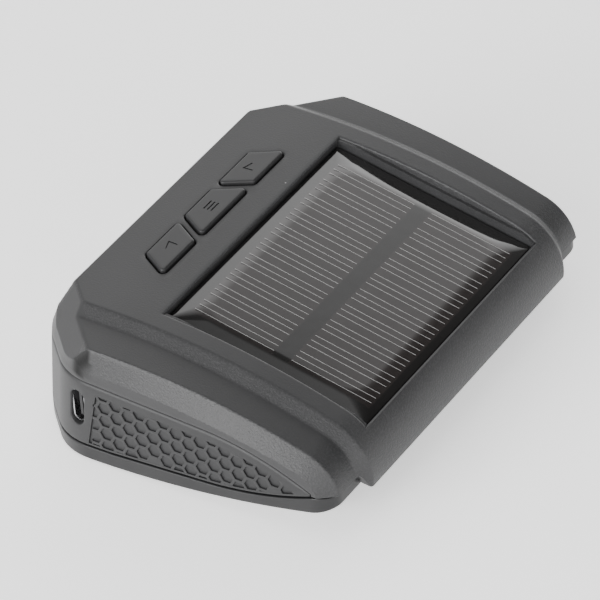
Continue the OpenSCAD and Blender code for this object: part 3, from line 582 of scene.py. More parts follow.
def makeFrame():
    f, e, wall = frameForm, frameForm["edge"], bodyForm["wall"]
    w = joined([*outlineLengths[:5], lengthAt(f["wingEnd"])], f["spanParts"])
    w = np.concatenate([-w[:0:-1], w])
    y = outlinePoint(toOutline(w), bodyForm["midHeight"])[1]
    sill, seam = sillLine(y), seamLine(y) - seamForm["seamGap"]
    roll = np.minimum(f["topEdge"], (seam - sill) * f["topShare"])
    outer = np.concatenate([np.column_stack([w, sill + e]), np.column_stack([w, seam - roll])[::-1]])
    window = boxCorners(-f["windowHalf"], f["windowLow"], f["windowHalf"], f["windowHigh"])
    portW, tall, wide = lengthAt(f["portY"]), f["portLong"] / 2, f["portShort"] / 2
    port = boxCorners(portW - wide, f["portZ"] - tall, portW + wide, f["portZ"] + tall)
    openings = ((window, f["windowCorner"], e, 4), (port, wide - 0.01, f["portRim"], 10))
    wingRight = cellField() + (lengthAt(0.0), 0)
    wingLeft = (wingRight * (-1, 1))[::-1]
    extra = [(s * length, z) for part in (1, 3) for length in np.linspace(*outlineLengths[part:part + 2], 14)
             for s in (-1, 1) for z in np.linspace(*f["bendRows"])]
    skin = Skin()
    holes = [roundOutline(*opening) for opening in openings] + [wingRight, wingLeft]
    rings = skin.fill(outer, holes, frameSkin, extra, 0.5)
    # the outer edge and the openings roll over to the wall's thickness
    reach = np.concatenate([np.full(len(w), -e), roll[::-1]])
    edges = [[(outer + np.outer(reach * s, (0, 1)), np.abs(reach) * (1 - c)) for s, c in quarter(5)]]
    for shape, r, rim, steps in openings:
        edges.append([(roundOutline(shape, r, rim * (1 - s), steps), rim * (1 - c)) for s, c in quarter(4)])
    for ring, rows in zip(rings, edges):
        skin.sew(ring, [frameSkin(*row) for row in rows + [(rows[-1][0], wall)]])
    # sunk fields behind the honeycomb
    for ring, shape in zip(rings[3:], (wingRight, wingLeft)):
        skin.sew(ring, [frameSkin(shape, f["cellDepth"])])
        skin.fill(shape, [], lambda flat: frameSkin(flat, f["cellDepth"]))
    return skin.make("sideFrame", (0, -43, 4.9), (0, -1, 0), 32)


sideFrame = makeFrame()
print("side frame:", len(sideFrame.data.polygons), "faces")


# bottom cover: flat floor, upright sides whose lower edges sweep up to the tail, shadow gap and lips on top
baseForm = {
    "low": 0.8, "tailHalf": 48.0, "tail": 34.1, "tailRound": 8.0, "rimTail": 40.3, "rimRound": 5.0,
    "sweepY": -24.5, "sweepRadius": 245.0, "soft": 0.8, "floorInset": 1.6, "tailGap": 0.3,
    "lipSpan": (-14.0, 28.0), "lipRise": 1.7, "lipPlay": 0.15, "lipWidth": 1.0, "lipRoot": 1.5,
    "screws": ((47, -12), (41, 26)), "headHole": 2.2, "wellDepth": 3.2,
    "padHalf": (37.2, 28.2), "padY": -6.0, "padRound": 6.2, "padDepth": 0.4,
}


# averages a folded line over a short window, so that its folds come out round
def softProfile(corners, width, spots):
    lengths = np.concatenate([[0], np.cumsum(np.linalg.norm(np.diff(corners, axis=0), axis=1))])
    fine = np.linspace(0, lengths[-1], 400)
    line = np.column_stack([np.interp(fine, lengths, c) for c in corners.T])
    area = np.vstack([np.zeros(3), np.cumsum((line[1:] + line[:-1]) / 2 * (fine[1] - fine[0]), axis=0)])
    at = spots(lengths)
    a, b = np.clip(at - width / 2, 0, lengths[-1] - 1e-6), np.clip(at + width / 2, 1e-6, lengths[-1])
    start, end = [np.column_stack([np.interp(t, fine, c) for c in area.T]) for t in (a, b)]
    return (end - start) / (b - a)[:, None]


def makeBase():
    g, b, seamZ = baseForm, bodyForm, roofForm["tailSeam"]
    u = joined(range(5), (5, 13, 5, 17))
    slope = (seamZ - b["sill"]) / (g["rimTail"] + b["frontReach"])
    corner = np.linspace(0, pi / 2, 17)

    def plan(side, tail, r, inset):
        fx, fy = outlinePoint(u, b["sill"], inset)
        cornerX, cornerY = side - r + (r - inset) * np.cos(corner), tail - r + (r - inset) * np.sin(corner)
        straight, back = np.linspace(0, 1, 34)[1:-1], np.linspace(1, 0, 8)[1:]
        x = np.concatenate([fx, fx[-1] + (cornerX[0] - fx[-1]) * straight, cornerX, cornerX[-1] * back])
        y = np.concatenate([fy, fy[-1] + (cornerY[0] - fy[-1]) * straight, cornerY, cornerY[-1] + 0 * back])
        return np.column_stack([x, y])

    def onRim(inset):
        xy = plan(b["halfWidth"], g["rimTail"], g["rimRound"], inset)
        return np.column_stack([xy, b["sill"] + slope * (xy[:, 1] + b["frontReach"])])

    def onFloor(inset):
        return level(plan(g["tailHalf"], g["tail"], g["tailRound"], inset), g["low"])

    rim, innerFloor = onRim(0.0), onFloor(g["floorInset"])
    sweep = np.clip(rim[:, 1] - g["sweepY"], 0, None)
    radius = g["sweepRadius"]
    edge = np.column_stack([rim[:, :2], g["low"] + radius - np.sqrt(radius ** 2 - sweep ** 2)])
    top = rim
    for _ in range(30):  # where each wall line meets the shadow gap
        sideTop = np.minimum(sillLine(top[:, 1]), seamZ) - seamForm["shadowGap"]
        meet = np.where(top[:, 1] > b["tailEnd"], seamZ - g["tailGap"], sideTop)
        cut = np.clip((meet - edge[:, 2]) / (rim[:, 2] - edge[:, 2]), 0.02, 1.0)
        top = edge + (rim - edge) * cut[:, None]
    inward = (onRim(1.0) - rim) * [1, 1, 0]
    inner = top + inward * b["wall"]
    turns = np.linspace(-0.5, 0.5, 6) * g["soft"]

    def spots(lengths):
        foot, fold, brink = lengths[1:4]
        between = np.linspace(fold, brink, 6)[1:-1]
        middle = [(foot + fold) / 2]
        return np.sort(np.concatenate([[0.0], foot + turns, middle, fold + turns, between, brink + turns]))

    folds = zip(innerFloor, onFloor(0.0), edge, top, inner)
    profiles = np.array([softProfile(np.array(c), g["soft"], spots) for c in folds])
    profiles[:, 0] = innerFloor
    inLip = (top[:, 1] > g["lipSpan"][0]) & (top[:, 1] < g["lipSpan"][1])
    rise = np.outer(np.where(inLip, g["lipRise"], 0.0), (0, 0, 1))
    outerLip, innerLip = inner + inward * g["lipPlay"], inner + inward * (g["lipPlay"] + g["lipWidth"])
    rings = [*profiles.transpose(1, 0, 2), inner, outerLip, outerLip + rise, innerLip + rise]
    rings.append(innerLip - [0, 0, g["lipRoot"]])
    # each half ring and its mirror image
    loops = [np.concatenate([ring, (ring * [-1, 1, 1])[-2:0:-1]]) for ring in rings]
    skin = Skin()
    skin.sew(skin.add(loops[0]), loops[1:])
    # underside with the pad's pocket and the screw wells
    px, py = g["padHalf"]
    round32 = np.linspace(0, 2 * pi, 33)[:-1]
    circle = np.column_stack([np.cos(round32), np.sin(round32)]) * g["headHole"]
    shapes = [roundOutline(boxCorners(-px, g["padY"] - py, px, g["padY"] + py), g["padRound"], 0.0, 10)]
    shapes += [circle + (s * x, y) for x, y in g["screws"] for s in (-1, 1)]
    borders = skin.fill(loops[0][:, :2], shapes, lambda flat: level(flat, g["low"]))
    for n, (ring, shape) in enumerate(zip(borders[1:], shapes)):
        depth = g["wellDepth"] if n else g["padDepth"]
        skin.faces.append(tuple(skin.sew(ring, [level(shape, g["low"] + depth)])))
    return skin.make("bottomCover", (0, 0, g["low"]), (0, 0, -1), 40)


bottomCover = makeBase()
print("bottom cover:", len(bottomCover.data.polygons), "faces")


# keys with crowned edges and sunken marks
markForm = {
    "stroke": 0.36, "depth": 0.22, "apex": (-1.3, -1.2), "arms": ((2.5, 0.8), (0.15, 2.3)),
    "barLength": 2.9, "barPitch": 0.95, "keyGrid": 0.9, "clear": 2.6,
}


def markShapes(side):  # three bars on the middle key, an arrow on the others
    m, c = markForm, keyMiddle(side)
    t = m["stroke"] / 2
    if side == 0:
        half = m["barLength"] / 2 + t
        return [c + (0, n * m["barPitch"]) + boxCorners(-half, -t, half, t) for n in (-1, 0, 1)]
    apex = np.array(m["apex"])
    e0, e1 = [np.array(a) for a in m["arms"]]
    d0, d1 = e0 / np.hypot(*e0), e1 / np.hypot(*e1)
    n0, n1 = np.array([-d0[1], d0[0]]), np.array([d1[1], -d1[0]])
    inner = t * (n0 + n1) / (1 + n0 @ n1)
    ends = [-inner, e0 - n0 * t, e0 + n0 * t, inner, e1 + n1 * t, e1 - n1 * t]
    return [np.array([c + (apex + p) * (side, 1) for p in ends])[::side]]


def makeKey(label, side):
    k, corners, middle = keyForm, keyCorners(side), keyMiddle(side)
    top, step = roofForm["deck"] + k["proud"], k["flangeLow"] + k["flange"]
    outer = roundOutline(corners, k["corner"], -k["crown"])
    marks = markShapes(side)
    spots = meshGrid(*(np.arange(a, b, markForm["keyGrid"]) for a, b in zip(outer.min(0), outer.max(0))))
    skin = Skin()
    rings = skin.fill(outer, marks, lambda flat: level(flat, top), spots, 0.4)
    rows = [(k["crown"] * (s - 1), top - k["crown"] * (1 - c)) for s, c in quarter(6)]
    rows += [(0.0, step), (k["flange"], step), (k["flange"], k["flangeLow"])]
    foot = skin.sew(rings[0], [level(roundOutline(corners, k["corner"], grow), z) for grow, z in rows])
    skin.faces.append(tuple(foot))
    for ring, shape in zip(rings[1:], marks):
        skin.faces.append(tuple(skin.sew(ring, [level(shape, top - markForm["depth"])])))
    return skin.make("key" + label.title(), (middle[0], middle[1] - markForm["clear"], top), (0, 0, 1), 30)


keyPieces = {label: makeKey(label, keySides[label]) for label in ("up", "menu", "down")}
print("keys made")


# solar panel face: clear resin over two dark cells, with rounded edges
faceForm = {"corner": 0.8, "margin": 5.1, "slope": 0.16, "soft": 1.1, "innerRound": 5.0, "edge": 0.25}


def makePanelFace():
    p, f = panelForm, faceForm
    half, full = p["width"] / 2, f["margin"] + f["soft"]
    rows = []
    for t in np.linspace(full, f["edge"], 30):  # poured resin: level in the middle, falling to the edges
        drop = f["slope"] * float(softRamp(np.array(f["margin"] - t), f["soft"]))
        rows.append((t, f["corner"] + (f["innerRound"] - f["corner"]) * t / full, drop))
    low = rows[-1][2]
    for a in np.linspace(0.3, pi / 2, 4):
        rows.append((f["edge"] * (1 - sin(a)), f["corner"], low + f["edge"] * (1 - cos(a))))
    rows.append((0.0, f["corner"], p["resin"]))
    rings = []
    for t, r, drop in rows:
        box = boxCorners(t - half, t, half - t, p["length"] - t)
        rings.append(fromPanel(level(roundOutline(box, r), -drop)))
    skin = Skin()
    first = skin.add(rings[0])
    skin.faces += [tuple(first), tuple(skin.sew(first, rings[1:]))]
    return skin.make("panelFace", (0, 10, 27), (0, 0.2, 1), 30)


panelFace = makePanelFace()


# node trees: a wire carries a socket through Python expressions, and a board adds the nodes
class Wire:
    def __init__(self, board, socket):
        self.board, self.socket = board, socket

    def run(self, operation, other=0.0, swap=False):
        a, b = (other, self) if swap else (self, other)
        return self.board.add("ShaderNodeMath", {0: a, 1: b}, operation=operation)

    def __add__(self, o): return self.run("ADD", o)
    def __radd__(self, o): return self.run("ADD", o, True)
    def __sub__(self, o): return self.run("SUBTRACT", o)
    def __rsub__(self, o): return self.run("SUBTRACT", o, True)
    def __mul__(self, o): return self.run("MULTIPLY", o)
    def __rmul__(self, o): return self.run("MULTIPLY", o, True)
    def __truediv__(self, o): return self.run("DIVIDE", o)
    def __rtruediv__(self, o): return self.run("DIVIDE", o, True)
    def __mod__(self, o): return self.run("MODULO", o)
    def __rmod__(self, o): return self.run("MODULO", o, True)
    def __gt__(self, o): return self.run("GREATER_THAN", o)
    def __lt__(self, o): return self.run("LESS_THAN", o)


class Board:
    def __init__(self, tree):
        self.tree = tree

    def add(self, kind, inputs=None, output=0, stops=(), **settings):
        node = self.tree.nodes.new(kind)
        for key, value in settings.items():
            setattr(node, key, value)
        for n, (at, tone) in enumerate(stops):  # a new colour ramp already has two
            ramp = node.color_ramp.elements
            stop = ramp[n] if n < 2 else ramp.new(at)
            stop.position, stop.color = at, (tone, tone, tone, 1)
        for key, value in (inputs or {}).items():
            self.feed(node.inputs[key], value)
        return Wire(self, node.outputs[output]) if node.outputs else node

    def feed(self, socket, value):
        if isinstance(value, Wire):
            self.tree.links.new(value.socket, socket)
        else:
            socket.default_value = value


socketKinds = {
    type(None): "Geometry", int: "Int", float: "Float", tuple: "Vector", bpy.types.Material: "Material",
}


class GeoTree(Board):
    def __init__(self, name, values):
        super().__init__(bpy.data.node_groups.new(name, "GeometryNodeTree"))
        sockets, self.keys = self.tree.interface, {}
        for label, value in {"geometry": None, **values}.items():
            kind = "NodeSocket" + socketKinds[type(value)]
            self.keys[label] = sockets.new_socket(label, in_out="INPUT", socket_type=kind).identifier
        sockets.new_socket("geometry", in_out="OUTPUT", socket_type="NodeSocketGeometry")
        self.source = self.add("NodeGroupInput").socket.node

    def __getitem__(self, label):
        return Wire(self, self.source.outputs[label])

    def finish(self, shape):
        real = self.add("GeometryNodeRealizeInstances", {"Geometry": shape})
        dressed = self.add("GeometryNodeSetMaterial", {"Geometry": real, "Material": self["material"]})
        self.add("NodeGroupOutput", {0: dressed})
        return self


def runTree(name, mesh, tree, values):
    host = newObject(name + "Host", mesh)
    mod = host.modifiers.new("tree", "NODES")
    mod.node_group = tree.tree
    for label, value in values.items():
        mod[tree.keys[label]] = value
    bpy.context.view_layer.update()
    made = bpy.data.meshes.new_from_object(host.evaluated_get(bpy.context.evaluated_depsgraph_get()))
    made.name = name
    bpy.data.objects.remove(host)
    return newObject(name, made)


# materials
socketNames = {
    "color": "Base Color", "rough": "Roughness", "metal": "Metallic", "normal": "Normal",
    "coat": "Coat Weight", "coatRough": "Coat Roughness", "specular": "Specular IOR Level",
    "glow": "Emission Color", "glowStrength": "Emission Strength",
}


class Finish(Board):
    def __init__(self, name):
        self.material = bpy.data.materials.new(name)
        self.material.use_nodes = True
        super().__init__(self.material.node_tree)
        self.tree.nodes.clear()
        shader = self.add("ShaderNodeBsdfPrincipled")
        self.add("ShaderNodeOutputMaterial", {0: shader})
        self.inputs = shader.socket.node.inputs
        self.place = self.add("ShaderNodeTexCoord", output="Object")

    def noise(self, scale, detail=3.0, rough=0.5):
        inputs = {"Vector": self.place, "Scale": scale, "Detail": detail, "Roughness": rough}
        return self.add("ShaderNodeTexNoise", inputs, "Fac")

    def ramp(self, value, low, high):
        return self.add("ShaderNodeMapRange", {"Value": value, "From Min": low, "From Max": high}, clamp=True)

    def blend(self, factor, a, b):
        a, b = (c if isinstance(c, Wire) else (*c, 1) for c in (a, b))
        return self.add("ShaderNodeMix", {0: factor, 6: a, 7: b}, 2, data_type="RGBA")

    def bump(self, height, strength, distance):
        return self.add("ShaderNodeBump", {"Height": height, "Strength": strength, "Distance": distance})

    def set(self, **values):
        for key, value in values.items():
            self.feed(self.inputs[socketNames[key]], value)
        return self.material


plasticForm = {
    "patch": 55.0, "grainDepth": 0.00012, "grainTone": (0.35, 0.08), "grainLight": 1.9, "specular": 0.3,
    "vary": 0.06, "shadeAndDull": 0.95, "dullTone": (0.002, 0.002, 0.002), "dullRough": 0.4,
    "dust": 130.0, "dustSize": 0.022, "dustOdds": 0.86, "dustTone": (0.5, 0.5, 0.5), "dustCover": 0.5,
}


def mouldedPlastic(name, dark, light, rough, grain, strength, specks):
    f, p = Finish(name), plasticForm
    patch, fine = f.noise(p["patch"], 4.0), f.noise(grain, 2.0, 0.6)
    marks = ("grain", "shadeAndDull")
    grained, shadeAndDull = [f.add("ShaderNodeAttribute", None, "Fac", attribute_name=label) for label in marks]
    more, least = p["grainTone"]
    color = f.blend(f.ramp(patch, 0.35, 0.65), dark, light)
    pale = tuple(c * p["grainLight"] for c in light)
    color = f.blend(f.ramp(fine, 0.45, 0.75) * (grained * more + least), color, pale)
    # painted shade: the colour goes near-black where the corner mark is set, and roughness rises there too
    color = f.blend(shadeAndDull * p["shadeAndDull"], color, p["dullTone"])
    if specks:  # a little dust
        cells = {"Vector": f.place, "Scale": p["dust"]}
        dust, chance = [f.add("ShaderNodeTexVoronoi", cells, output) for output in ("Distance", "Color")]
        lucky = f.add("ShaderNodeSeparateColor", {"Color": chance})
        specked = (dust < p["dustSize"]) * (lucky > p["dustOdds"]) * p["dustCover"]
        color = f.blend(specked, color, p["dustTone"])
    uneven = (f.ramp(patch, 0.2, 0.8) + f.ramp(fine, 0.2, 0.8)) * p["vary"]
    roughness = uneven + (shadeAndDull * p["dullRough"] + (rough - p["vary"]))
    return f.set(color=color, rough=roughness, specular=p["specular"],
                 normal=f.bump(fine, grained * strength + strength * 0.4, p["grainDepth"]))


def plainFinish(name, a, b, rough, scale, bump=0.1, uneven=0.1, detail=3.0, **more):
    f = Finish(name)
    mottled = f.noise(scale, detail)
    if bump:
        more["normal"] = f.bump(mottled, bump, 0.0001)
    tone = f.blend(f.ramp(mottled, 0.3, 0.7), a, b)
    return f.set(color=tone, rough=f.ramp(mottled, 0.2, 0.8) * uneven + rough, **more)


def metalFinish(name, color, rough, scale=2500.0):
    return plainFinish(name, tuple(c * 0.85 for c in color), color, rough, scale, 0, 0.12, metal=1.0)


# silver fingers of the cells, three in a group, in two columns
fingerForm = {
    "first": 3.6, "length": 20.5, "between": 4.6, "pitch": 6.24, "inGroup": 1.8,
    "groups": 10, "width": 0.13, "rise": 0.016,
}


def makeFingers(material):
    p = panelForm
    values = {key: value * mm for key, value in fingerForm.items() if key != "groups"}
    values.update(groups=fingerForm["groups"], place=(0.0, -p["front"] * mm, p["height"] * mm),
                  tilt=(-p["tilt"], 0.0, 0.0), material=material)
    t = GeoTree("cellFingers", values)
    perColumn = t["groups"] * 3.0
    dots = t.add("GeometryNodePoints", {"Count": perColumn * 2.0})
    index = t.add("GeometryNodeInputIndex")
    column, inColumn = (index / perColumn).run("FLOOR"), index % perColumn
    group, within = (inColumn / 3.0).run("FLOOR"), inColumn % 3.0
    x = (group - (t["groups"] - 1.0) * 0.5) * t["pitch"] + (within - 1.0) * t["inGroup"]
    y = t["first"] + t["length"] * 0.5 + column * (t["length"] + t["between"])
    spot = t.add("ShaderNodeCombineXYZ", {"X": x, "Y": y})
    placed = t.add("GeometryNodeSetPosition", {"Geometry": dots, "Position": spot})
    size = t.add("ShaderNodeCombineXYZ", {"X": t["width"], "Y": t["length"], "Z": t["rise"]})
    bar = t.add("GeometryNodeMeshCube", {"Size": size})
    bars = t.add("GeometryNodeInstanceOnPoints", {"Points": placed, "Instance": bar})
    slope = {"Geometry": bars, "Translation": t["place"], "Rotation": t["tilt"]}
    t.finish(t.add("GeometryNodeTransform", slope))
    return runTree("cellFingers", bpy.data.meshes.new("fingerSeed"), t, values)


laminateForm = {
    "cellHalf": 31.1, "cellEdge": 0.3, "cloud": 40.0, "crystal": 900.0, "wave": 120.0, "waveDepth": 0.0004,
    "silicon": ((0.0128, 0.0106, 0.0102), (0.020, 0.0168, 0.0162), (0.024, 0.021, 0.0195)),
    "backing": (0.009, 0.0085, 0.0083),
}


def panelFinish():
    f, p, g, m = Finish("solarLaminate"), panelForm, fingerForm, laminateForm
    corner = (0, -p["front"] * mm, p["height"] * mm)
    local = f.add("ShaderNodeVectorMath", {0: f.place, 1: corner}, operation="SUBTRACT")
    turned = f.add("ShaderNodeMapping", {"Vector": local, "Rotation": (p["tilt"], 0, 0)}, vector_type="POINT")
    x, y = [f.add("ShaderNodeSeparateXYZ", {"Vector": turned}, axis) for axis in ("X", "Y")]
    cell = 0.0
    for start in (g["first"], g["first"] + g["length"] + g["between"]):
        low, high = start - m["cellEdge"], start + g["length"] + m["cellEdge"]
        cell = (y > low * mm) * (y < high * mm) + cell
    cell = (x.run("ABSOLUTE") < m["cellHalf"] * mm) * cell
    cloud, crystal, wave = f.noise(m["cloud"], 5.0, 0.6), f.noise(m["crystal"], 2.0), f.noise(m["wave"], 2.0)
    dark, light, spark = m["silicon"]
    silicon = f.blend(f.ramp(cloud, 0.3, 0.7), dark, light)
    silicon = f.blend(f.ramp(crystal, 0.4, 0.7) * 0.35, silicon, spark)
    return f.set(color=f.blend(cell, m["backing"], silicon), rough=f.ramp(cloud, 0.2, 0.8) * 0.05 + 0.07,
                 normal=f.bump(wave, 0.06, m["waveDepth"]), coat=0.45, coatRough=0.05, specular=0.45)


casePlastic, keyPlastic, wingPlastic, basePlastic = [mouldedPlastic(*form) for form in (
    ("casePlastic", (0.0235, 0.0235, 0.0242), (0.0275, 0.0275, 0.0283), 0.42, 2400.0, 0.7, True),
    ("keyPlastic", (0.019, 0.019, 0.0196), (0.022, 0.022, 0.0227), 0.40, 3000.0, 0.15, False),
    ("wingPlastic", (0.017, 0.017, 0.0176), (0.020, 0.020, 0.0207), 0.46, 2600.0, 0.25, False),
    ("basePlastic", (0.012, 0.012, 0.0125), (0.016, 0.016, 0.0165), 0.40, 2600.0, 0.25, True),
)]
solarLaminate = panelFinish()
silverFinger = metalFinish("silverFinger", (0.38, 0.378, 0.375), 0.4)


def dressNodes(material, *labels):
    for label in labels:
        nodes[label].data.materials.clear()
        nodes[label].data.materials.append(material)


dressNodes(plainFinish("smokedWindow", (0.006, 0.006, 0.007), (0.010, 0.010, 0.011), 0.04, 30.0, 0, 0.03, 4.0,
                       coat=1.0, coatRough=0.02), "display_window")
dressNodes(metalFinish("brightSteel", (0.5, 0.5, 0.51), 0.2), "port_shell")
dressNodes(metalFinish("dullSteel", (0.55, 0.55, 0.57), 0.3),
           "switch_bodies", "key_board_screws", "gps_module", "case_screws")
dressNodes(metalFinish("batteryFoil", (0.7, 0.71, 0.73), 0.4, 700.0), "battery")
plainNodes = {  # two tones, roughness, scale, bump, and the nodes that wear it
    "boardLaminate": ((0.012, 0.10, 0.04), (0.02, 0.14, 0.06), 0.3, 300.0, 0.1, "key_board", "main_board"),
    "blackResin": ((0.012, 0.012, 0.013), (0.02, 0.02, 0.021), 0.5, 2000.0, 0.1, "panel_board", "stem_up",
                   "stem_menu", "stem_down", "board_chips", "port_tongue", "buzzer"),
    "paleMoulding": ((0.6, 0.6, 0.58), (0.7, 0.7, 0.68), 0.5, 800.0, 0.1, "led_display"),
    "darkFilm": ((0.03, 0.03, 0.033), (0.04, 0.04, 0.043), 0.35, 600.0, 0.1, "display_film"),
    "antennaCeramic": ((0.45, 0.36, 0.24), (0.55, 0.45, 0.31), 0.6, 900.0, 0.1, "gps_antenna"),
    "amberFilm": ((0.4, 0.17, 0.03), (0.5, 0.23, 0.05), 0.3, 700.0, 0.1, "key_flex"),
    "leadJacket": ((0.25, 0.02, 0.015), (0.33, 0.03, 0.02), 0.4, 1200.0, 0.1, "battery_leads", "panel_leads"),
    "gripRubber": ((0.012, 0.012, 0.013), (0.022, 0.022, 0.023), 0.75, 1500.0, 0.4, "grip_pad"),
    "paleFoam": ((0.5, 0.5, 0.48), (0.62, 0.62, 0.6), 0.85, 1800.0, 0.4, "battery_tape"),
}
for name, row in plainNodes.items():
    dressNodes(plainFinish(name, *row[:5]), *row[5:])
print("finishes made")


# honeycomb: six-sided pockets cut through a plate that fills the wing's sunk field
honeyForm = {
    "pitch": 3.6, "flats": 2.9, "startY": -17.4, "startZ": 20.6, "columns": 20, "rows": 8, "softEdge": 0.12,
    "cutLength": 6.0, "pocketAngle": 1.2, "borderGap": 0.05,
}


def honeyValues(side):
    h = honeyForm
    return {"pitch": h["pitch"] * mm, "flats": h["flats"] * mm, "cutLength": h["cutLength"] * mm,
            "startY": h["startY"] * mm - h["pitch"] * mm * sqrt(3),
            "startZ": h["startZ"] * mm + h["pitch"] * mm,
            "sideX": side * bodyForm["halfWidth"] * mm, "columns": h["columns"], "rows": h["rows"],
            "material": wingPlastic}


def honeyTree():
    t = GeoTree("honeycombCut", honeyValues(1))
    dots = t.add("GeometryNodePoints", {"Count": t["columns"] * t["rows"]})
    index = t.add("GeometryNodeInputIndex")
    column, row = (index / t["rows"]).run("FLOOR"), index % t["rows"]
    y = t["startY"] + column * (t["pitch"] * (sqrt(3) / 2))
    z = t["startZ"] - (row + column % 2.0 * 0.5) * t["pitch"]
    spot = t.add("ShaderNodeCombineXYZ", {"X": t["sideX"], "Y": y, "Z": z})
    placed = t.add("GeometryNodeSetPosition", {"Geometry": dots, "Position": spot})
    sizes = {"Vertices": 6, "Radius": t["flats"] / sqrt(3), "Depth": t["cutLength"]}
    prism = t.add("GeometryNodeMeshCylinder", sizes, fill_type="NGON")
    for turn in ((0, 0, pi / 6), (0, pi / 2, 0)):
        prism = t.add("GeometryNodeTransform", {"Geometry": prism, "Rotation": turn})
    cells = t.add("GeometryNodeInstanceOnPoints", {"Points": placed, "Instance": prism})
    real = t.add("GeometryNodeRealizeInstances", {"Geometry": cells})
    return t.finish(t.add("GeometryNodeMeshBoolean", {0: t["geometry"], 1: real}, operation="DIFFERENCE"))


def makeHoneycomb(name, side, tree):
    h, field, face = honeyForm, cellField(), side * bodyForm["halfWidth"]
    skin = Skin()
    back = skin.add([(face - side * frameForm["cellDepth"], y, z) for y, z in field])
    skin.faces += [tuple(back), tuple(skin.sew(back, [[(face, y, z) for y, z in field]]))]
    plate = skin.make(name + "Plate", (face, 0, 12), (side, 0, 0))
    obj = runTree(name, plate.data.copy(), tree, honeyValues(side))
    bpy.data.objects.remove(plate)
    # soften the pockets' outer edges, but not the plate's own border
    bm = bmesh.new()
    bm.from_mesh(obj.data)
    bmesh.ops.remove_doubles(bm, verts=bm.verts, dist=1e-6)
    lip = []
    for e in bm.edges:
        onSkin = all(abs(v.co.x - face * mm) < 1e-6 for v in e.verts)
        if onSkin and len(e.link_faces) == 2 and e.calc_face_angle(0) > h["pocketAngle"]:
            middle = (e.verts[0].co + e.verts[1].co) / 2 / mm
            if loopGap(np.array([middle.yz]), field)[0] > h["borderGap"]:
                lip.append(e)
    bmesh.ops.bevel(bm, geom=lip, offset=h["softEdge"] * mm, segments=2, profile=0.5, affect="EDGES",
                    clamp_overlap=True)
    sharpenEdges(bm, radians(30))
    bm.to_mesh(obj.data)
    bm.free()
    obj.data.shade_smooth()
    return obj


honeycombCut = honeyTree()
honeyRight = makeHoneycomb("honeycombRight", 1, honeycombCut)
honeyLeft = makeHoneycomb("honeycombLeft", -1, honeycombCut)
print("honeycomb:", len(honeyRight.data.polygons), "faces a side")

cellFingers = makeFingers(silverFinger)
print("fingers:", len(cellFingers.data.polygons), "faces")


# put pieces on their bodies
def dress(obj, material, body, slot, *replaced):
    obj.data.materials.clear()
    obj.data.materials.append(material)
    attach(obj, body)
    if replaced:
        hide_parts(*replaced)


dress(topCover, casePlastic, "case", "case_plastic", "top_cover")
dress(sideFrame, wingPlastic, "case", "case_plastic", "side_frame")
dress(honeyRight, wingPlastic, "case", "case_plastic")
dress(honeyLeft, wingPlastic, "case", "case_plastic")
dress(bottomCover, basePlastic, "case", "base_plastic", "bottom_cover")
dress(panelFace, solarLaminate, "case", "clear_resin", "panel_resin", "solar_cells")
dress(cellFingers, silverFinger, "case", "solar_silicon")
for label, piece in keyPieces.items():
    dress(piece, keyPlastic, label + "_key", "case_plastic", "key_" + label)


# studio: pale floor, soft light, the photograph's camera
studio = {
    "focal": 4850.0, "picture": 600, "sensor": 36.0, "elevation": radians(37.577), "azimuth": radians(34.52),
    "roll": radians(-4.363), "distance": 303.87, "offset": (4.284, -1.6701),
    "unit": 3.6, "origin": (0, 5.325, -4.34), "lift": 0.8,
    "zenith": (0, 0.25, 1), "airStrength": 4.15,
    "air": ((0.0, 1.0), (1.0, 0.34), (0.5, 0.92), (0.62, 0.62),
            (0.70, 0.34), (0.76, 0.05), (0.84, 0.05), (0.90, 0.30)),
    "shades": (((0, -1, 0), 0.2, 0.9, 0.2), ((-0.47, 0.71, 0.525), 0.65, 0.87, 0.04)),
    "floorSize": 6.0, "floorGlow": 0.9,
    "lights": {  # place, target, size, power
        "sideSoftbox": ((0.93, -0.26, 0.27), (0, 0, 0.015), (0.55, 0.34), 10.0),
        "tailSoftbox": ((-0.1, 0.95, 0.08), (0, 0.04, 0.015), (0.5, 0.14), 1.8),
    },
}


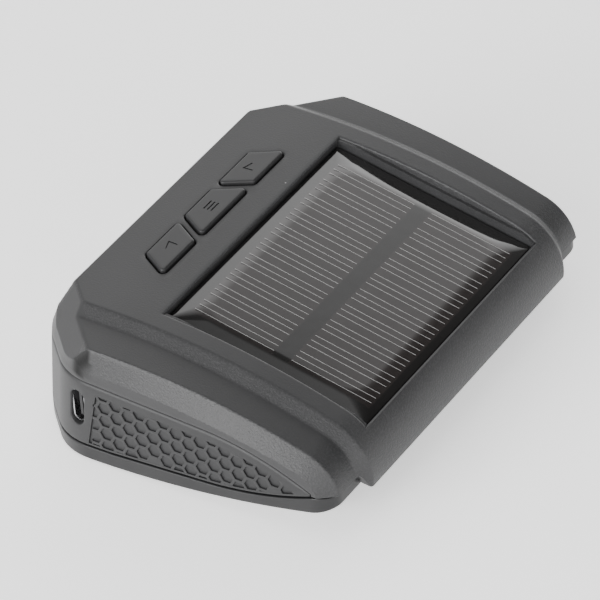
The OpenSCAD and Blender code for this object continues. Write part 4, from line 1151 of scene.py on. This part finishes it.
def makeCamera():
    c = studio
    e, a = c["elevation"], c["azimuth"]
    back = Vector((cos(e) * cos(a), cos(e) * sin(a), sin(e)))
    flat = Vector((-sin(a), cos(a), 0))
    rise = back.cross(flat)
    right = flat * cos(c["roll"]) + rise * sin(c["roll"])
    up = rise * cos(c["roll"]) - flat * sin(c["roll"])
    x, y = c["offset"]
    place = (back * c["distance"] + right * x + up * y - Vector(c["origin"])) * c["unit"]
    place.z += c["lift"]
    data = bpy.data.cameras.new("photoCamera")
    data.sensor_width = c["sensor"]
    data.lens = c["sensor"] * c["focal"] / c["picture"]
    data.clip_start, data.clip_end = 0.05, 20.0
    cam = newObject("photoCamera", data)
    cam.matrix_world = Matrix.Translation(place * mm) @ Matrix((right, up, back)).transposed().to_4x4()
    bpy.context.scene.camera = cam


def addLight(name, spot, target, size, power):
    data = bpy.data.lights.new(name, "AREA")
    data.shape, data.size, data.size_y, data.energy = "RECTANGLE", size[0], size[1], power
    lamp = newObject(name, data)
    lamp.location = spot
    lamp.rotation_mode = "QUATERNION"
    lamp.rotation_quaternion = (Vector(target) - Vector(spot)).to_track_quat("-Z", "Y")


def makeAir():
    world = bpy.data.worlds.new("studioAir")
    world.use_nodes = True
    board = Board(world.node_tree)
    air = world.node_tree.nodes["Background"]
    way = board.add("ShaderNodeTexCoord", output="Generated")

    def along(aim):
        return board.add("ShaderNodeVectorMath", {0: way, 1: aim}, "Value", operation="DOT_PRODUCT")

    # bright round the horizon, dark above, a dim canopy overhead
    shade = board.add("ShaderNodeValToRGB", {0: along(studio["zenith"])}, stops=studio["air"])
    board.feed(air.inputs[0], shade)
    glow = studio["airStrength"]
    for aim, start, end, least in studio["shades"]:  # dim ahead of the display and behind the tail
        glow = board.add("ShaderNodeMapRange", {0: along(aim), 1: start, 2: end, 3: 1.0, 4: least}) * glow
    board.feed(air.inputs[1], glow)
    bpy.context.scene.world = world


def makeFloor():
    bm = bmesh.new()
    bmesh.ops.create_grid(bm, x_segments=1, y_segments=1, size=studio["floorSize"])
    mesh = bpy.data.meshes.new("studioFloor")
    bm.to_mesh(mesh)
    bm.free()
    floor = newObject("studioFloor", mesh)
    f = Finish("palePaper")
    paper = f.noise(3.0, 2.0)
    color = f.blend(paper, (0.84, 0.84, 0.84), (0.86, 0.86, 0.86))
    glow = f.blend(paper, (0.98, 0.98, 0.98), (1, 1, 1))
    mesh.materials.append(f.set(color=color, rough=0.9, glow=glow, glowStrength=studio["floorGlow"]))


makeCamera()
makeAir()
makeFloor()
for name, form in studio["lights"].items():
    addLight(name, *form)
print("studio ready")
